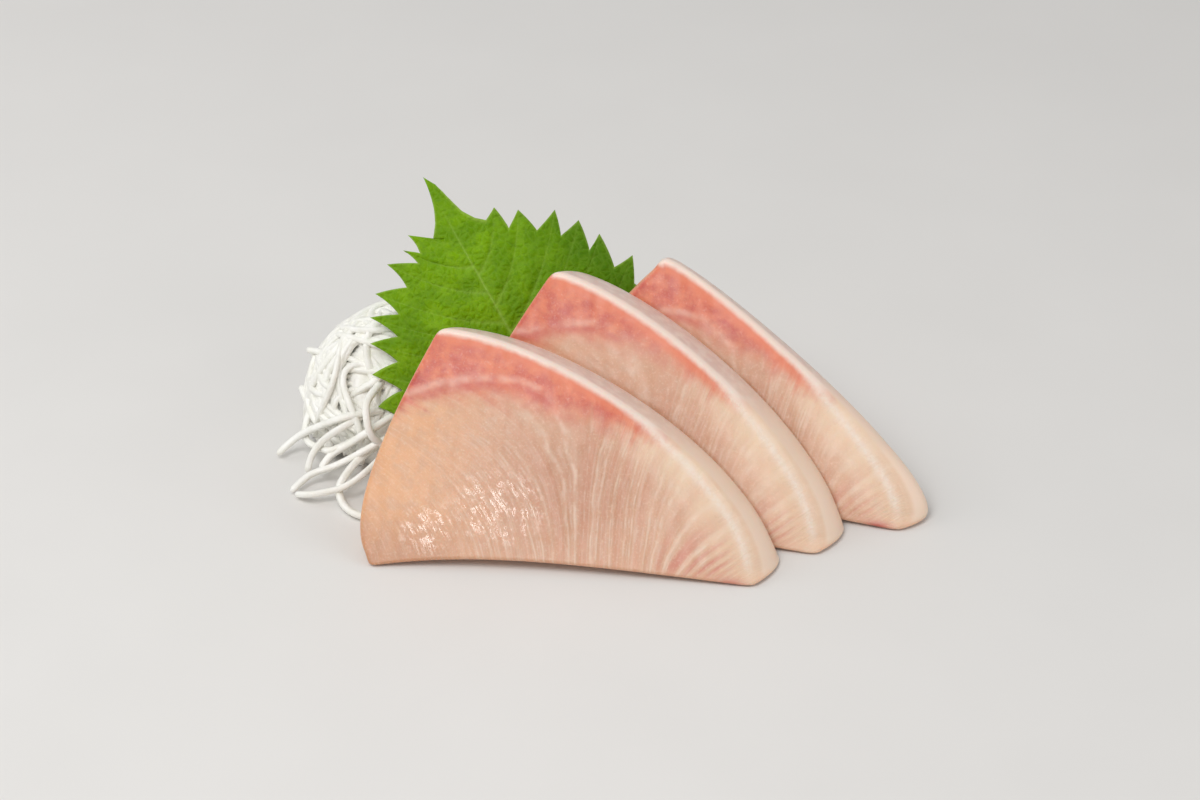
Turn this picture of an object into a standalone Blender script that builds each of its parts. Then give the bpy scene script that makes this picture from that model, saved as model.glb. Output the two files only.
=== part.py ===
"""Sashimi serving: three slices of yellowtail that lean back one behind the other, a green
shiso leaf behind them, and the heap of shredded daikon that the leaf lies on.

Lengths are in millimetres until a vertex is made, where MM turns them into metres. +Z is up,
the cut faces of the slices look towards -Y, and the origin is under the middle of the serving.
"""

import math
from dataclasses import dataclass

import bmesh
import bpy
from mathutils import Vector

MM = 0.001
GAP = 0.35              # clear space kept between pieces that touch
SMOOTH_ANGLE = math.radians(40)     # faces that meet at less than this are shaded as one
MIDDLE = (-0.8, 39.3)   # middle of the serving's footprint, in the frame of the layout below


# --- the slices -----------------------------------------------------------------------------


@dataclass(frozen=True)
class Slice:
    """One slice, cut across the loin and stood on its belly edge.

    Its cut face is a plane through the foot line. In that plane u runs along the foot, from 0
    at the tip to negative values at the heel, and v runs up the face. Each edge is one cubic
    curve through its first and last points, pulled by the two between.
    """

    name: str
    tip: tuple          # X and Y of the tip's foot in the layout
    turn: float         # degrees that the foot line turns back from X
    lean: float         # degrees that the cut face leans back from upright
    thick: float
    skew: tuple         # shift of the back face along u, at the tip and at the apex
    skin_edge: tuple    # from the tip up to the apex
    heel_edge: tuple    # from the apex down to the heel
    foot_edge: tuple    # from the heel along the plate to the tip
    colour: tuple


SLICES = (
    Slice(
        name="slice_front", tip=(31.7, -2.3), turn=5.0, lean=32.5, thick=9.6, skew=(4.1, 4.1),
        skin_edge=((1.0, 2.4), (-0.7, 24.2), (-42.5, 49.0), (-65.6, 50.8)),
        heel_edge=((-69.2, 49.2), (-74.2, 39.0), (-87.3, 13.2), (-81.9, 3.0)),
        foot_edge=((-79.6, 0.1), (-58.0, 4.4), (-38.0, 2.8), (-1.4, 0.0)),
        colour=(0.78, 0.46, 0.34),
    ),
    Slice(
        name="slice_middle", tip=(45.6, 8.65), turn=9.0, lean=31.0, thick=9.4, skew=(4.0, 4.0),
        skin_edge=((0.8, 2.4), (0.0, 21.8), (-38.4, 50.0), (-58.0, 54.7)),
        heel_edge=((-62.2, 53.3), (-67.6, 44.0), (-84.6, 14.0), (-80.4, 3.2)),
        foot_edge=((-78.0, 0.1), (-56.0, 4.0), (-36.0, 2.6), (-1.5, 0.0)),
        colour=(0.80, 0.47, 0.36),
    ),
    Slice(
        name="slice_back", tip=(63.6, 17.0), turn=12.0, lean=30.0, thick=5.8, skew=(4.4, 0.0),
        skin_edge=((0.9, 2.4), (3.0, 15.6), (-43.9, 48.2), (-55.2, 52.0)),
        heel_edge=((-58.9, 49.1), (-66.5, 41.0), (-81.5, 19.0), (-76.8, 4.0)),
        foot_edge=((-74.0, 0.1), (-54.0, 3.6), (-36.0, 2.4), (-1.6, 0.0)),
        colour=(0.80, 0.48, 0.37),
    ),
)
SKIN_STEPS, HEEL_STEPS, FOOT_STEPS, CORNER_STEPS = 22, 12, 10, 4
CORNER_PULL = 0.55      # how far a corner's handles reach towards the point where edges meet
LOWEST = 0.05           # the foot stays this far up the face, clear of the plate
FLAT_FOOT = 11.0        # height up the face over which the foot is squared off to the plate
RIM = 0.9               # rounding of the cut edges
RIM_SEGMENTS = 2
RIM_ANGLE = math.radians(50)    # edges sharper than this are rounded
SIDE_BULGE = 0.4        # how far the soft side swells between the two rims,
TIP_BULGE = 1.0         # and by how much more at the tip,
TIP_REACH = 8.0         # within this distance along the foot
SKEW_FADE = 2           # power by which the skew fades from the tip to the apex
CUT_FORWARD = 14.0      # a slice's cutter clears the heap this far in front of the cut face


def cubic(points, steps):
    """Points on a cubic curve, its last point left out."""
    a, b, c, d = (Vector(p) for p in points)
    ts = [i / steps for i in range(steps)]
    return [
        a * (1 - t) ** 3 + b * 3 * (1 - t) ** 2 * t + c * 3 * (1 - t) * t ** 2 + d * t ** 3
        for t in ts
    ]


def corner(before, after, steps):
    """A rounded corner from the end of one edge to the start of the next."""
    start, end = Vector(before[3]), Vector(after[0])
    reach = (end - start).length * CORNER_PULL
    out = start + (start - Vector(before[2])).normalized() * reach
    back = end - (Vector(after[1]) - end).normalized() * reach
    return cubic((start, out, back, end), steps)


def outline(piece):
    """The cut face's closed outline as (u, v) points, tip to apex to heel and back."""
    edges = (piece.skin_edge, piece.heel_edge, piece.foot_edge)
    steps = (SKIN_STEPS, HEEL_STEPS, FOOT_STEPS)
    points = []
    for edge, count, after in zip(edges, steps, edges[1:] + edges[:1]):
        points += cubic(edge, count) + corner(edge, after, CORNER_STEPS)
    return [Vector((point.x, max(point.y, LOWEST))) for point in points]


def grown(points, margins):
    """The outline moved outwards by a margin for each point, along the normal there."""
    moved = []
    for i, (here, margin) in enumerate(zip(points, margins)):
        along = (points[(i + 1) % len(points)] - points[i - 1]).normalized()
        moved.append(here + Vector((along.y, -along.x)) * margin)
    return moved


def swelling(point):
    """How far the side stands out halfway between the rims, near a point of the outline."""
    return SIDE_BULGE + TIP_BULGE * max(1 + point.x / TIP_REACH, 0)


def slice_mesh(piece, margin=0.0, forward=0.0):
    """A closed solid between the cut face's outline and the skewed outline of the back face.

    margin grows it on every side, and forward pulls its cut face further towards -Y.
    """
    turn, lean = math.radians(piece.turn), math.radians(piece.lean)
    along = Vector((math.cos(turn), -math.sin(turn), 0))
    level = Vector((-math.sin(turn), -math.cos(turn), 0))
    out = level * math.cos(lean) + Vector((0, 0, math.sin(lean)))
    up = Vector((0, 0, math.cos(lean))) - level * math.sin(lean)
    foot = Vector((piece.tip[0] - MIDDLE[0], piece.tip[1] - MIDDLE[1], 0))
    square = piece.thick * math.tan(lean)
    apex = piece.heel_edge[0][0]

    rings = [], [], []
    thick = piece.thick
    rim = outline(piece)
    edge = grown(rim, [margin] * len(rim))
    swollen = grown(rim, [margin + swelling(point) for point in rim])
    for (u, v), (wide_u, wide_v) in zip(edge, swollen):
        share = min(max(u / apex, 0), 1)
        skew = piece.skew[1] + (piece.skew[0] - piece.skew[1]) * (1 - share) ** SKEW_FADE
        flat = (1 - min(max(v, 0) / FLAT_FOOT, 1)) ** 2
        lift = square * flat
        wide_v += (v - wide_v) * flat
        rings[0].append(foot + along * u + up * v + out * (margin + forward))
        rings[1].append(
            foot + along * (wide_u + skew / 2) + up * (wide_v + lift / 2) - out * thick / 2
        )
        rings[2].append(foot + along * (u + skew) + up * (v + lift) - out * (thick + margin))

    bm = bmesh.new()
    near, middle, far = [[bm.verts.new(p * MM) for p in ring] for ring in rings]
    bm.faces.new(near)
    bm.faces.new(reversed(far))
    for i in range(len(near)):
        bm.faces.new((near[i], near[i - 1], middle[i - 1], middle[i]))
        bm.faces.new((middle[i], middle[i - 1], far[i - 1], far[i]))
    bmesh.ops.recalc_face_normals(bm, faces=bm.faces)
    return finish_mesh(bm, piece.name)


# --- the leaf -------------------------------------------------------------------------------

LEAF_TIP = Vector((-38.4, 71.3, 55.2))      # in the layout
LEAF_DOWN = Vector((0.49, -0.50, -0.71)).normalized()   # from the tip towards the stalk
LEAF_ACROSS = Vector((0.87, 0.33, 0.37)).normalized()
LEAF_LENGTH = 64.0
LEAF_THICK = 0.6
VEIN_ANGLE = math.radians(46)   # side veins run forward at this angle to the midrib
# The margin as (place on the midrib where the side vein starts, length of the vein), from the
# tip down: the long drip tip first, and then a tooth and a notch in turn.
LEFT_MARGIN = (
    (4.4, 0.7), (8.5, 1.9), (12.8, 3.8), (17.4, 6.6),
    (18.1, 12.6), (22.5, 12.1), (22.9, 16.1), (25.5, 14.1), (28.2, 22.4), (33.4, 20.6),
    (37.6, 29.8), (41.9, 26.7), (44.9, 34.7), (48.4, 30.2), (52.5, 38.5), (55.7, 33.9),
    (61.4, 42.6), (63.7, 36.9), (70.3, 45.8), (71.5, 41.5),
)
RIGHT_MARGIN = (
    (4.1, 2.1), (6.9, 3.0), (9.7, 3.8), (12.0, 4.5), (14.2, 5.2), (18.5, 7.6), (21.9, 10.2),
    (23.1, 14.2), (29.2, 15.0), (30.2, 20.2), (37.5, 22.1), (40.9, 30.0), (44.9, 27.7),
    (48.7, 34.8), (54.5, 33.2), (56.0, 38.3), (63.2, 37.3), (67.5, 44.0), (70.4, 40.2),
    (72.5, 41.2),
)
# Below its widest place the blade is an ellipse with even teeth.
BASE_CENTRE = 41.0
BASE_HALF_WIDTH = 30.5
BASE_TEETH = 5
BASE_TOOTH_DEPTH = 3.2
CROWD_FROM = 34.0       # below this place the side veins start closer together,
CROWD = 0.62            # at this share of their spacing
LEAF_ROWS = 6           # quads from the midrib to the margin
LEAF_REACH = 34.0       # half width with the teeth
LEAF_DROOP = 3.0        # drop of the sides behind the plane of the midrib
LEAF_BEND_FROM = 28.0   # below this place on the midrib the blade bends back
LEAF_BEND = 0.0058
# The cutter that makes room for the leaf in the heap: it reaches this far in front of the blade
# and past its tip, and narrows towards the tip by a power over the given length.
ROOM_FRONT = 16.0
ROOM_PAST_TIP = 2.0
ROOM_LENGTH = 1.06 * LEAF_LENGTH
ROOM_TAPER, ROOM_TAPER_POWER = 30.0, 0.85
ROOM_LEAST = 0.5
ROOM_ACROSS, ROOM_DOWN = 14, 16     # quads


def leaf_margin(points, side):
    """Margin points (down, across) from the tip to the stalk, with side -1 or +1."""
    margin = [
        (place - reach * math.cos(VEIN_ANGLE), side * reach * math.sin(VEIN_ANGLE))
        for place, reach in points
    ]
    depth = LEAF_LENGTH - BASE_CENTRE
    for i in range(1, 2 * BASE_TEETH):
        angle = 0.5 * math.pi * i / (2 * BASE_TEETH)
        inset = 0.0 if i % 2 else BASE_TOOTH_DEPTH
        down = BASE_CENTRE + (depth - inset) * math.sin(angle)
        across = (BASE_HALF_WIDTH - inset) * math.cos(angle)
        margin.append((down, side * across))
    return margin


def vein_roots():
    """Places on the midrib that both sides' margin points are joined to."""
    places = [(left[0] + right[0]) / 2 for left, right in zip(LEFT_MARGIN, RIGHT_MARGIN)]
    roots = [p - (1 - CROWD) * max(p - CROWD_FROM, 0) for p in places]
    step = (LEAF_LENGTH - roots[-1]) / (2 * BASE_TEETH)
    return roots + [roots[-1] + step * i for i in range(1, 2 * BASE_TEETH)]


def leaf_point(down, across, lift=0.0):
    """A point of the bent blade, lift millimetres in front of it."""
    facing = LEAF_ACROSS.cross(LEAF_DOWN).normalized()
    facing = -facing if facing.y > 0 else facing
    bend = LEAF_BEND * max(down - LEAF_BEND_FROM, 0) ** 2
    droop = LEAF_DROOP * (across / BASE_HALF_WIDTH) ** 2
    base = LEAF_TIP - Vector((MIDDLE[0], MIDDLE[1], 0))
    return base + LEAF_DOWN * down + LEAF_ACROSS * across + facing * (lift - bend - droop)


def leaf_mesh():
    """The blade as an open sheet: rows of quads fan out from the midrib to the margin."""
    bm = bmesh.new()
    tip = bm.verts.new(leaf_point(0, 0) * MM)
    stalk = bm.verts.new(leaf_point(LEAF_LENGTH, 0) * MM)
    roots = vein_roots()
    midrib = [bm.verts.new(leaf_point(root, 0) * MM) for root in roots]
    for side, points in ((-1, LEFT_MARGIN), (1, RIGHT_MARGIN)):
        lines = []
        for start, root, (down, across) in zip(midrib, roots, leaf_margin(points, side)):
            shares = [row / LEAF_ROWS for row in range(1, LEAF_ROWS + 1)]
            lines.append([start] + [
                bm.verts.new(leaf_point(root + (down - root) * share, across * share) * MM)
                for share in shares
            ])
        for first, second in zip(lines, lines[1:]):
            for row in range(LEAF_ROWS):
                bm.faces.new((first[row], second[row], second[row + 1], first[row + 1]))
        for row in range(LEAF_ROWS):
            bm.faces.new((tip, lines[0][row], lines[0][row + 1]))
            bm.faces.new((stalk, lines[-1][row], lines[-1][row + 1]))
    bmesh.ops.recalc_face_normals(bm, faces=bm.faces)
    return finish_mesh(bm, "shiso_leaf")


# --- the heap of shredded daikon ------------------------------------------------------------

HEAP_MIDDLE = (-36.5, 58.0)     # in the layout
HEAP_HALF = (28.5, 21.5)        # half width along X and along Y
HEAP_HEIGHT = 27.5
HEAP_FLANK = 2.5                # exponent of its outline: above 2 the flanks are steep
HEAP_AROUND, HEAP_RINGS = 60, 26
# Loose ends that reach out over the plate: direction in degrees, length, half angle.
HEAP_TONGUES = (
    (-158.0, 12.0, 8.0), (-137.0, 14.5, 9.0), (-114.0, 18.0, 8.0), (172.0, 2.5, 9.0),
)
TONGUE_HEIGHT = 5.0
# Waves on its surface: number round it, number up it, phase, size.
HEAP_LUMPS = ((5, 3, 0.4, 0.9), (9, 5, 1.7, 0.7), (13, 8, 3.1, 0.5))


def heap_point(direction):
    """Where the heap's surface lies in a direction from the middle of its foot."""
    turn = math.atan2(direction.y, direction.x)
    rise = math.asin(max(min(direction.z, 1), -1))
    level = max(math.cos(rise), 0) ** (2 / HEAP_FLANK)
    height = HEAP_HEIGHT * max(math.sin(rise), 0) ** (2 / HEAP_FLANK)
    lump = sum(
        size * math.sin(around * turn + start) * math.cos(up * max(rise, 0) + start)
        for around, up, start, size in HEAP_LUMPS
    )
    low = math.exp(-(height / TONGUE_HEIGHT) ** 2)
    reach = 0.0
    for towards, length, half in HEAP_TONGUES:
        away = (math.degrees(turn) - towards + 180) % 360 - 180
        reach += length * low * math.exp(-(away / half) ** 2)
    x = (HEAP_HALF[0] + lump + reach) * level * math.cos(turn)
    y = (HEAP_HALF[1] + lump + reach) * level * math.sin(turn)
    if rise <= 0:
        height = 0.0
    else:
        height = max(height + lump * math.sin(2 * rise), 0.0)
    return Vector((HEAP_MIDDLE[0] - MIDDLE[0] + x, HEAP_MIDDLE[1] - MIDDLE[1] + y, height))


def heap_object(group):
    """A lumpy dome with a flat foot, cut back where the slices and the leaf lie against it."""
    bm = bmesh.new()
    bmesh.ops.create_uvsphere(bm, u_segments=HEAP_AROUND, v_segments=HEAP_RINGS, radius=1)
    for vert in bm.verts:
        vert.co = heap_point(vert.co.normalized()) * MM
    return add_object("daikon_heap", finish_mesh(bm, "daikon_heap"), group, (0.86, 0.85, 0.80), 0.35)


def leaf_cutter(group):
    """A thick copy of the blade without its teeth, reaching in front of the leaf."""
    bm = bmesh.new()
    width = LEAF_REACH + GAP
    layers = []
    for lift in (ROOM_FRONT, -LEAF_THICK - GAP):
        layer = []
        for i in range(ROOM_DOWN + 1):
            along = ROOM_LENGTH * i / ROOM_DOWN
            half = width * min(1.0, max(along, ROOM_LEAST) / ROOM_TAPER) ** ROOM_TAPER_POWER
            layer.append([
                bm.verts.new(
                    leaf_point(along - ROOM_PAST_TIP, half * (2 * j / ROOM_ACROSS - 1), lift) * MM
                )
                for j in range(ROOM_ACROSS + 1)
            ])
        layers.append(layer)
    top, bottom = layers
    for i in range(ROOM_DOWN):
        for j in range(ROOM_ACROSS):
            bm.faces.new((top[i][j], top[i + 1][j], top[i + 1][j + 1], top[i][j + 1]))
            bm.faces.new((bottom[i][j], bottom[i][j + 1], bottom[i + 1][j + 1], bottom[i + 1][j]))
    rim = [(0, j) for j in range(ROOM_ACROSS)]
    rim += [(i, ROOM_ACROSS) for i in range(ROOM_DOWN)]
    rim += [(ROOM_DOWN, j) for j in range(ROOM_ACROSS, 0, -1)]
    rim += [(i, 0) for i in range(ROOM_DOWN, 0, -1)]
    for (i, j), (k, m) in zip(rim, rim[1:] + rim[:1]):
        bm.faces.new((top[i][j], top[k][m], bottom[k][m], bottom[i][j]))
    bmesh.ops.recalc_face_normals(bm, faces=bm.faces)
    return add_cutter("cut_leaf", finish_mesh(bm, "cut_leaf"), group)


# --- objects --------------------------------------------------------------------------------


def finish_mesh(bm, name):
    """Turn a bmesh into a mesh."""
    mesh = bpy.data.meshes.new(name)
    bm.to_mesh(mesh)
    bm.free()
    return mesh


def add_object(name, mesh, group, colour, roughness):
    """A part of the serving with its own material."""
    material = bpy.data.materials.new(name)
    material.use_nodes = True
    shader = material.node_tree.nodes["Principled BSDF"]
    shader.inputs["Base Color"].default_value = (*colour, 1)
    shader.inputs["Roughness"].default_value = roughness
    shader.inputs["Metallic"].default_value = 0.0
    mesh.materials.append(material)
    mesh.shade_smooth()
    mesh.set_sharp_from_angle(angle=SMOOTH_ANGLE)
    part = bpy.data.objects.new(name, mesh)
    group.objects.link(part)
    return part


def add_cutter(name, mesh, group):
    """A solid that only cuts."""
    cutter = bpy.data.objects.new(name, mesh)
    cutter.hide_render = True
    cutter.display_type = "WIRE"
    group.objects.link(cutter)
    return cutter


def cut(part, cutter):
    """Take a cutter away from a part."""
    boolean = part.modifiers.new(cutter.name, "BOOLEAN")
    boolean.operation = "DIFFERENCE"
    boolean.object = cutter


def build():
    """Make the serving."""
    for old in list(bpy.data.objects):
        bpy.data.objects.remove(old)
    parts = bpy.data.collections.new("sashimi_serving")
    cutters = bpy.data.collections.new("cutters")
    for group in (parts, cutters):
        bpy.context.scene.collection.children.link(group)

    heap = heap_object(parts)
    for piece in SLICES:
        part = add_object(piece.name, slice_mesh(piece), parts, piece.colour, 0.3)
        bevel = part.modifiers.new("rim", "BEVEL")
        bevel.width = RIM * MM
        bevel.segments = RIM_SEGMENTS
        bevel.limit_method = "ANGLE"
        bevel.angle_limit = RIM_ANGLE
        clear = slice_mesh(piece, margin=GAP, forward=CUT_FORWARD)
        cut(heap, add_cutter("cut_" + piece.name, clear, cutters))
    cut(heap, leaf_cutter(cutters))

    leaf = add_object("shiso_leaf", leaf_mesh(), parts, (0.12, 0.27, 0.02), 0.5)
    wall = leaf.modifiers.new("thickness", "SOLIDIFY")
    wall.thickness = LEAF_THICK * MM
    wall.offset = 0.0


build()
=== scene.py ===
"""Looks of a sashimi serving: three slices of yellowtail, a shiso leaf and shredded daikon.

Lengths are in millimetres until a mesh is made, where MM turns them into metres. +Z is up and
the cut faces of the slices look towards -Y. Each piece takes its place from the CAD node that
it stands for. On a slice, u runs along the foot from the tip to the heel in negative values,
v runs up the cut face, and w runs from the cut face to the back one.
"""

import functools
import logging
import math
from dataclasses import dataclass, field
from enum import Enum

import bmesh
import bpy
import numpy as np
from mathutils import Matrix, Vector


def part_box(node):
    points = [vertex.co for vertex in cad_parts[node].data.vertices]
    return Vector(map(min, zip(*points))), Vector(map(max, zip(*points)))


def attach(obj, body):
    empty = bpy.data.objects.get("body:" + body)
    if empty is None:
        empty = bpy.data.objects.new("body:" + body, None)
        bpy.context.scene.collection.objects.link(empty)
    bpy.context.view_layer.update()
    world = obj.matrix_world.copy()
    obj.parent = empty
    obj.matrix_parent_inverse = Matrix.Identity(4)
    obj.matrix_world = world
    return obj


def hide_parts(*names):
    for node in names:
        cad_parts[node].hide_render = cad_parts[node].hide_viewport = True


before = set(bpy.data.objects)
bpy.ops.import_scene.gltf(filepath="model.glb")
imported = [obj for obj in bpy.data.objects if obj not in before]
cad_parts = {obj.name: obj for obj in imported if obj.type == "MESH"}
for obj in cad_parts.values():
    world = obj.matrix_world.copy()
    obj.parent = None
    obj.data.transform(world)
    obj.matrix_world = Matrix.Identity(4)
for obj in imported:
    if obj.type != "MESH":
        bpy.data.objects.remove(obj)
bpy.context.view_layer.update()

MM = 0.001
SPAN_STEPS = 12     # points on each span of a smooth line, before they are spaced evenly
WELD = 0.00001      # metres within which two points of a sheet are one
BODY = "root"
LOG = logging.getLogger("serving")
Array = np.ndarray
Colour = tuple[float, float, float]
Point = tuple[float, ...]


class Slot(Enum):
    """The material slots that the record names."""

    FISH = "fish"
    LEAF = "leaf"
    DAIKON = "daikon"


# --- shapes as arrays -----------------------------------------------------------------------


def cubic(points: tuple[Point, ...], steps: int) -> Array:
    """Points on a cubic curve, evenly spaced in its parameter, with the last left out.

    The curve is the sum of the four points, each times its Bernstein weight.

    Args:
        points: First point, two that pull, last point.
        steps: Number of points.

    Returns:
        An array of steps rows.
    """
    t = (np.arange(steps) / steps)[:, None]
    a, b, c, d = (np.array(point, float) for point in points)
    return a * (1 - t) ** 3 + 3 * b * (1 - t) ** 2 * t + 3 * c * (1 - t) * t**2 + d * t**3


def evenly(line: Array, count: int, closed: bool = False) -> Array:
    """The same line again, with its points at even distances along it.

    Args:
        line: Points in order.
        count: Number of points wanted.
        closed: Whether the last point joins the first.

    Returns:
        An array of count rows.
    """
    if closed:
        line = np.vstack([line, line[:1]])
    way = np.r_[0, np.cumsum(np.linalg.norm(np.diff(line, axis=0), axis=1))]
    wanted = np.linspace(0, way[-1], count, endpoint=not closed)
    return np.stack([np.interp(wanted, way, line[:, k]) for k in range(line.shape[1])], axis=1)


def through(places: tuple[Point, ...], count: int) -> Array:
    """A smooth line through some places: on each span a Hermite cubic whose end tangents are half
    the step between the neighbours on both sides.

    Args:
        places: The points to pass through, in order.
        count: Number of points wanted.

    Returns:
        An array of count rows, evenly spaced.
    """
    held = np.array(places, float)
    held = np.vstack([2 * held[0] - held[1], held, 2 * held[-1] - held[-2]])
    slope = (held[2:] - held[:-2]) / 2
    t = np.linspace(0, 1, SPAN_STEPS, endpoint=False)[None, :, None]
    start, end = held[1:-2, None], held[2:-1, None]
    line = (
        start * (1 + 2 * t) * (1 - t) ** 2 + end * t**2 * (3 - 2 * t)
        + slope[:-1, None] * t * (1 - t) ** 2 - slope[1:, None] * t**2 * (1 - t)
    )
    return evenly(np.vstack([line.reshape(-1, held.shape[1]), held[-2:-1]]), count)


def smooth(value: Array, low: float, high: float) -> Array:
    """0 below low, 1 above high, and an S-shaped rise between, 3t² - 2t³."""
    t = np.clip((value - low) / (high - low), 0, 1)
    return t * t * (3 - 2 * t)


def ripple(points: Array, size: float, seed: int) -> Array:
    """A soft uneven field: the mean of six sine waves in seeded directions.

    Args:
        points: Rows of coordinates.
        size: Length of the waves.
        seed: Seed of their directions and phases.

    Returns:
        A value from -1 to 1 for each row.
    """
    chance = np.random.default_rng(seed)
    ways = chance.normal(size=(6, points.shape[-1]))
    ways /= np.linalg.norm(ways, axis=1, keepdims=True)
    ways *= 2 * math.pi / size * chance.uniform(0.7, 1.5, (6, 1))
    return np.sin(points @ ways.T + chance.uniform(0, 2 * math.pi, 6)).mean(axis=-1)


def ring_faces(rings: int, around: int) -> Array:
    """Quads between neighbouring closed rings, whose points are numbered ring by ring.

    Args:
        rings: Number of rings.
        around: Points on each ring.

    Returns:
        Four point numbers for each quad.
    """
    here = np.arange(around)
    after = (here + 1) % around
    base = (np.arange(rings - 1) * around)[:, None]
    corners = [base + here, base + after, base + around + after, base + around + here]
    return np.stack(corners, axis=-1).reshape(-1, 4)


def sheet_faces(rows: int, columns: int) -> Array:
    """Quads of an open grid whose points are numbered row by row.

    Args:
        rows: Number of rows.
        columns: Points in each row.

    Returns:
        Four point numbers for each quad.
    """
    grid = np.arange(rows * columns).reshape(rows, columns)
    corners = [grid[:-1, :-1], grid[:-1, 1:], grid[1:, 1:], grid[1:, :-1]]
    return np.stack(corners, axis=-1).reshape(-1, 4)


def windows(rows: Array, reach: int) -> Array:
    """The neighbours of each value along its row, as one shifted copy after another.

    Args:
        rows: Rows of values, whose end values count beyond the ends too.
        reach: How many places the neighbours reach to both sides.

    Returns:
        An array of 2 reach + 1 copies of the rows.
    """
    padded = np.pad(rows, ((0, 0), (reach, reach)), mode="edge")
    return np.stack([padded[:, k:k + rows.shape[1]] for k in range(2 * reach + 1)])


def make_piece(name: str, points: Array, faces: list[Array],
               values: dict[str, Array]) -> bpy.types.Object:
    """A mesh object from arrays.

    Args:
        name: Name of the object.
        points: Places in millimetres, one row each.
        faces: Arrays of corner numbers, one array for each number of corners.
        values: A number for each point, by attribute name.

    Returns:
        The object, at the origin.
    """
    mesh = bpy.data.meshes.new(name)
    mesh.vertices.add(len(points))
    mesh.vertices.foreach_set("co", (points * MM).astype(np.float32).ravel())
    corners = np.concatenate([f.ravel() for f in faces])
    sizes = np.concatenate([np.full(len(f), f.shape[1]) for f in faces])
    starts = np.cumsum(sizes) - sizes
    mesh.loops.add(len(corners))
    mesh.loops.foreach_set("vertex_index", corners.astype(np.int32))
    mesh.polygons.add(len(starts))
    mesh.polygons.foreach_set("loop_start", starts.astype(np.int32))
    mesh.update(calc_edges=True)
    mesh.validate()
    mesh.shade_smooth()
    for key, value in values.items():
        layer = mesh.attributes.new(key, "FLOAT", "POINT")
        layer.data.foreach_set("value", value.astype(np.float32).ravel())
    piece = bpy.data.objects.new(name, mesh)
    bpy.context.scene.collection.objects.link(piece)
    return piece


def settle(piece: bpy.types.Object, node: str, surface: "Surface") -> None:
    """Put a finished piece in the place of its CAD node.

    Args:
        piece: The new mesh object.
        node: Name of the CAD node that it stands for.
        surface: Its material.
    """
    piece.data.materials.append(surface.material)
    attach(piece, BODY)
    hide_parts(node)


def node_box(node: str) -> tuple[Array, Array]:
    """Lowest and highest corner of a CAD node, in millimetres."""
    low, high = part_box(node)
    return np.array(low) / MM, np.array(high) / MM


# --- materials ------------------------------------------------------------------------------

Socket = bpy.types.NodeSocket
Feed = Socket | float | Colour


def paint(code: str) -> Colour:
    """A screen colour as linear light, by the usual sRGB curve.

    Args:
        code: Six hexadecimal digits, such as "e0a080".

    Returns:
        Red, green and blue from 0 to 1.
    """
    shades = [int(code[i:i + 2], 16) / 255 for i in (0, 2, 4)]
    red, green, blue = (c / 12.92 if c <= 0.04045 else ((c + 0.055) / 1.055) ** 2.4 for c in shades)
    return red, green, blue


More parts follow.
